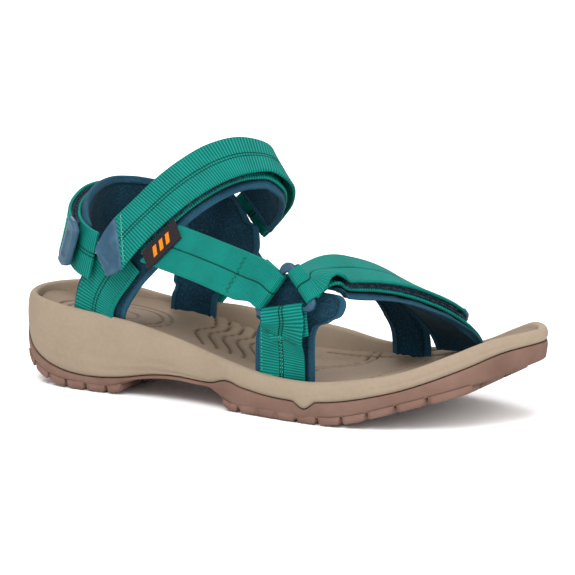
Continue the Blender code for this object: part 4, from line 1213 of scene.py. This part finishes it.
def toe_closure():
    """The toe strap: its flap is one strip from inside the link, round a bar and over the foot."""
    turn = bar_fold(LINK_FRONT, LINK_TOP, (0.15, -0.7, 0.7))[0]
    toe = Path([turn[1], turn[0]] + list(TOE_PATH))
    outer = Path(turn[::-1] + list(TOE_PATH))
    base = Path(turn + [toe.station(d, BASE - 0.15) for d in (FOLD_LEAD + 0.5, 8.0, 14.0)]
                + [toe.station(d, BASE) for d in np.arange(21.0, toe.length - 5.0, 9.0)]
                + [toe.station(toe.length, BASE)])
    hinge = FOLD_LEAD + 2.0
    end = toe.length - 30.0
    bold = (0, outer.length - toe.length + 15, 0.24)
    whole = webbing("toe_strap_outer", outer, 1.0, outer.length - 30.0 + TAB_ROOT, ("toe_flap",),
                    None, GREEN_FLAT, columns=32,
                    profile=(0.74, 0.76, 0.92, 1, 1, 1, 1, 1, 1, 1, 1, 1),
                    relief=ribbed(groove=0.8, rib=0.04, line_at=0.0, bold=bold))
    blend_at([whole])
    tab("toe", toe, end + FIT_GAP, end + 10, (end + 2.5, end + 7), profile=(1.0, 0.85, 0.5))
    tapes("toe", toe, (hinge + 19, end - 2), (hinge + 18, end + 4), (hinge + 18, end + 3),
          (HOOK, LOOP_LIFT, LOOP_LIFT), 1.6)
    webbing("toe_strap_base", base, 12, base.length - 6, ("toe_base_webbing",),
            step=RIB_PITCH / 3, profile=(0.7, 0.95, 1, 1, 1, 1, 1, 1, 1, 1, 1))
    pad("toe_strap_lining", toe, 14, toe.length - 6, LINER, 27.0, "toe_lining",
        lift=BASE + LINING_LIFT - 0.2, sideways=-1.0, profile=(0.8, 1, 1, 1, 1, 1))


def instep_closure():
    """The instep strap, which ends in a slant above the tag."""
    instep = Path(INSTEP_PATH)
    hinge, end = 96.0, 19.0
    slant = (7.0, 0)
    whole = webbing("instep_strap_outer", instep, end - TAB_ROOT, instep.length - 0.5,
                    ("instep_flap", "instep_strap"), None, skew=slant, columns=28)
    rows = centre_stitches("instep_strap_stitching", instep, end + 3, instep.length - 3, None)
    blend_at([whole, rows])
    threads("instep_end_stitching", instep,
            zigzag(end + 1.9, -10.4, 10.4, 1.3, 1.0, slant[0]), OUTER_FACE, PALE_THREAD,
            "instep_closure", radius=0.2)
    tab("instep", instep, end - 14.5, end - FIT_GAP, (end - 12.0, end - 4.5),
        skew=(2.0, slant[0]), profile=(0.62, 0.85, 1.0))
    tapes("instep", instep, (end + 9, hinge - 12), (end + 12, hinge - 6), (end + 14, hinge - 7),
          (HOOK, LOOP_LIFT, LOOP_LIFT), 0.9, slant)
    webbing("instep_strap_base", instep, end + 9, instep.length - 3, ("instep_base_webbing",),
            lift=BASE, skew=slant, step=RIB_PITCH / 3)
    pad("instep_padding", instep, end + 22, instep.length - 11, PAD, 30.0, "instep_pad",
        lift=BASE - (WEBBING + PAD) / 2 - FIT_GAP - 0.3, skew=slant)


def heel_closure():
    """The heel strap: its middle line is the base webbing's, and the flap is stacked outside."""
    heel = Path(HEEL_PATH)
    hinge, end = 76.0, 35.0
    loop = (WEBBING + LOOP_PILE) / 2 + FIT_GAP
    hook = loop + (LOOP_PILE + HOOK_PILE) / 2 + FIT_GAP
    flap = hook + (HOOK_PILE + WEBBING) / 2 + FIT_GAP
    strap = WEBBING + FIT_GAP
    middle = (hinge + heel.length) / 2
    outer = Path([heel.station(d, flap) for d in np.arange(20.0, hinge + 1, 7.0)]
                 + [heel.station(d, spread((flap, strap, strap),
                                           (d - hinge) / (heel.length - hinge)))
                    for d in (hinge + 9, middle, middle + 10, heel.length)])
    spots = np.linspace(0, outer.length, 400)
    away = np.linalg.norm(outer.at(spots) - heel.at(end, 0, flap), axis=1)
    flap_start = spots[np.argmin(away)]
    whole = webbing("heel_strap_outer", outer, flap_start - TAB_ROOT, outer.length,
                    ("heel_flap", "heel_strap"), None)
    rows = centre_stitches("heel_strap_stitching", outer, flap_start + 3, outer.length - 3, None)
    blend_at([whole, rows])
    threads("heel_end_stitching", heel, zigzag(end + 2.0, -10.4, 10.4), flap + OUTER_FACE,
            PALE_THREAD, "heel_closure")
    tab("heel", heel, end - 11, end - FIT_GAP, (end - 8.5, end - 3.5), lift=flap,
        profile=(0.75, 1.0, 1.0))
    webbing("heel_strap_base", heel, 14, hinge + 22, ("heel_base_webbing",))
    centre_stitches("heel_base_stitching", heel, 17, hinge + 18)
    tapes("heel", heel, (end + 2, hinge - 8), (end - 4, hinge - 3), (end - 3, hinge - 4),
          (hook, loop, loop + 0.4), 1.4)
    pad("heel_padding", heel, 25, heel.length - 10, PAD, 33.0, "heel_pad",
        lift=-(WEBBING + PAD) / 2 - FIT_GAP - 0.2, profile=(0.72, 0.9, 1.0, 1.0, 1.0, 0.95, 0.85))


for build in (heel_posts, forefoot_posts, side_strap, side_tag, toe_closure, instep_closure,
              heel_closure):
    build()


# ---------------------------------------------------------------- padding

PUFF_LIMIT = 0.8
PUFF_FRAMES = 20
PUFF_PRESSURE = 4.0
ROLL = 0.45
ROLL_MIDDLE = 1.4
ROLL_REACH = 1.7
SEAM_DEPTH = 0.5


def puff(things):
    """Swells the padded strips together with a cloth simulation, and keeps how far they moved."""
    for thing in things:
        cloth = thing.modifiers.new("cloth", "CLOTH")
        cloth.settings.use_pressure = True
        cloth.settings.uniform_pressure_force = PUFF_PRESSURE
        cloth.settings.effector_weights.gravity = 0.0
        cloth.settings.quality = 5
        cloth.collision_settings.use_collision = False
        cloth.point_cache.frame_end = PUFF_FRAMES
    scene = bpy.context.scene
    for number in range(1, PUFF_FRAMES + 1):
        scene.frame_set(number)
    graph = bpy.context.evaluated_depsgraph_get()
    swollen = {}
    for thing in things:
        swollen[thing.name] = coordinates(thing.evaluated_get(graph).to_mesh())
    for thing in things:
        thing.modifiers.clear()
    scene.frame_set(1)
    return swollen


def coordinates(mesh):
    """A mesh's points, one row each."""
    co = np.zeros(len(mesh.vertices) * 3)
    mesh.vertices.foreach_get("co", co)
    return co.reshape(-1, 3)


def finish_pad(thing):
    """Subdivides a puffed pad, then rolls its edge and presses in the seam beside it."""
    smooth = thing.modifiers.new("smooth", "SUBSURF")
    smooth.levels = 2
    smooth.render_levels = 2
    graph = bpy.context.evaluated_depsgraph_get()
    mesh = bpy.data.meshes.new_from_object(thing.evaluated_get(graph))
    thing.modifiers.clear()
    thing.data = mesh
    mesh.shade_smooth()
    lay = np.zeros(len(mesh.vertices) * 3)
    mesh.attributes["lay"].data.foreach_get("vector", lay)
    along, margin = lay.reshape(-1, 3).T[:2]
    normal = np.zeros(len(mesh.vertices) * 3)
    mesh.vertices.foreach_get("normal", normal)
    rise = ROLL * bell(margin - ROLL_MIDDLE, ROLL_REACH)
    rise = rise - SEAM_DEPTH * bell(margin - ROLL_SEAM, 0.8)
    rise = rise + 0.05 * np.sin(along * 0.6) * np.clip((margin - 4) / 4, 0, 1)
    co = coordinates(mesh) + normal.reshape(-1, 3) * rise[:, None] * MM
    mesh.vertices.foreach_set("co", co.ravel())
    mesh.update()


swollen = puff(pads)
for thing in pads:
    before = coordinates(thing.data)
    move = swollen[thing.name] - before
    far = np.linalg.norm(move, axis=1, keepdims=True)
    move *= np.minimum(1.0, PUFF_LIMIT * MM / np.maximum(far, 1e-9))
    thing.data.vertices.foreach_set("co", (before + move).ravel())
    thing.data.update()
for thing in pads:
    finish_pad(thing)
    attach(thing, "sandal")


# ---------------------------------------------------------------- floor, light and camera

def floor():
    """A plain pale studio floor."""
    bpy.ops.mesh.primitive_plane_add(size=6.0, location=(0, 0, -0.0004))
    plane = bpy.context.object
    plane.name = "studio_floor"
    look = Look("studio_floor", roughness=0.9, specular=0.1)
    tone = look.noise(look.place(), 3.0)
    look.colour(look.ramp(tone, (0.0, (0.93, 0.93, 0.93)), (1.0, (0.97, 0.97, 0.97))))
    plane.data.materials.append(look.material)


def light(name, place, size, power, target=(0.0, 0.0, 0.05)):
    """A soft round lamp that faces the sandal."""
    lamp = bpy.data.lights.new(name, "AREA")
    lamp.shape = "DISK"
    lamp.size = size
    lamp.energy = power
    thing = bpy.data.objects.new(name, lamp)
    thing.location = place
    aim = Vector(target) - Vector(place)
    thing.rotation_euler = aim.to_track_quat("-Z", "Y").to_euler()
    bpy.context.scene.collection.objects.link(thing)


def camera():
    """The viewpoint is 28 degrees round from the outer side towards the toe, 11 degrees up."""
    azimuth, elevation, distance = math.radians(28.162), math.radians(11.2), 1.6
    target = Vector((0.00025, 0.00113, 0.040))
    back = Vector((math.sin(azimuth) * math.cos(elevation),
                   -math.cos(azimuth) * math.cos(elevation), math.sin(elevation)))
    lens = bpy.data.cameras.new("view")
    lens.lens = 217.1
    lens.sensor_width = 36.0
    lens.shift_x = 0.0158
    lens.shift_y = 0.04
    thing = bpy.data.objects.new("view", lens)
    thing.location = target + back * distance
    thing.rotation_euler = (-back).to_track_quat("-Z", "Y").to_euler()
    bpy.context.scene.collection.objects.link(thing)
    bpy.context.scene.camera = thing


floor()
light("key", (0.2, -1.5, 1.9), 1.3, 42.0)
light("fill", (1.5, -0.6, 1.0), 1.4, 16.0)
light("back", (-0.9, 1.3, 1.6), 1.2, 22.0)
camera()
world = bpy.data.worlds.new("studio")
world.use_nodes = True
world.node_tree.nodes["Background"].inputs["Color"].default_value = (1.0, 1.0, 1.0, 1.0)
world.node_tree.nodes["Background"].inputs["Strength"].default_value = 0.95
bpy.context.scene.world = world
bpy.context.scene.view_settings.view_transform = "Standard"
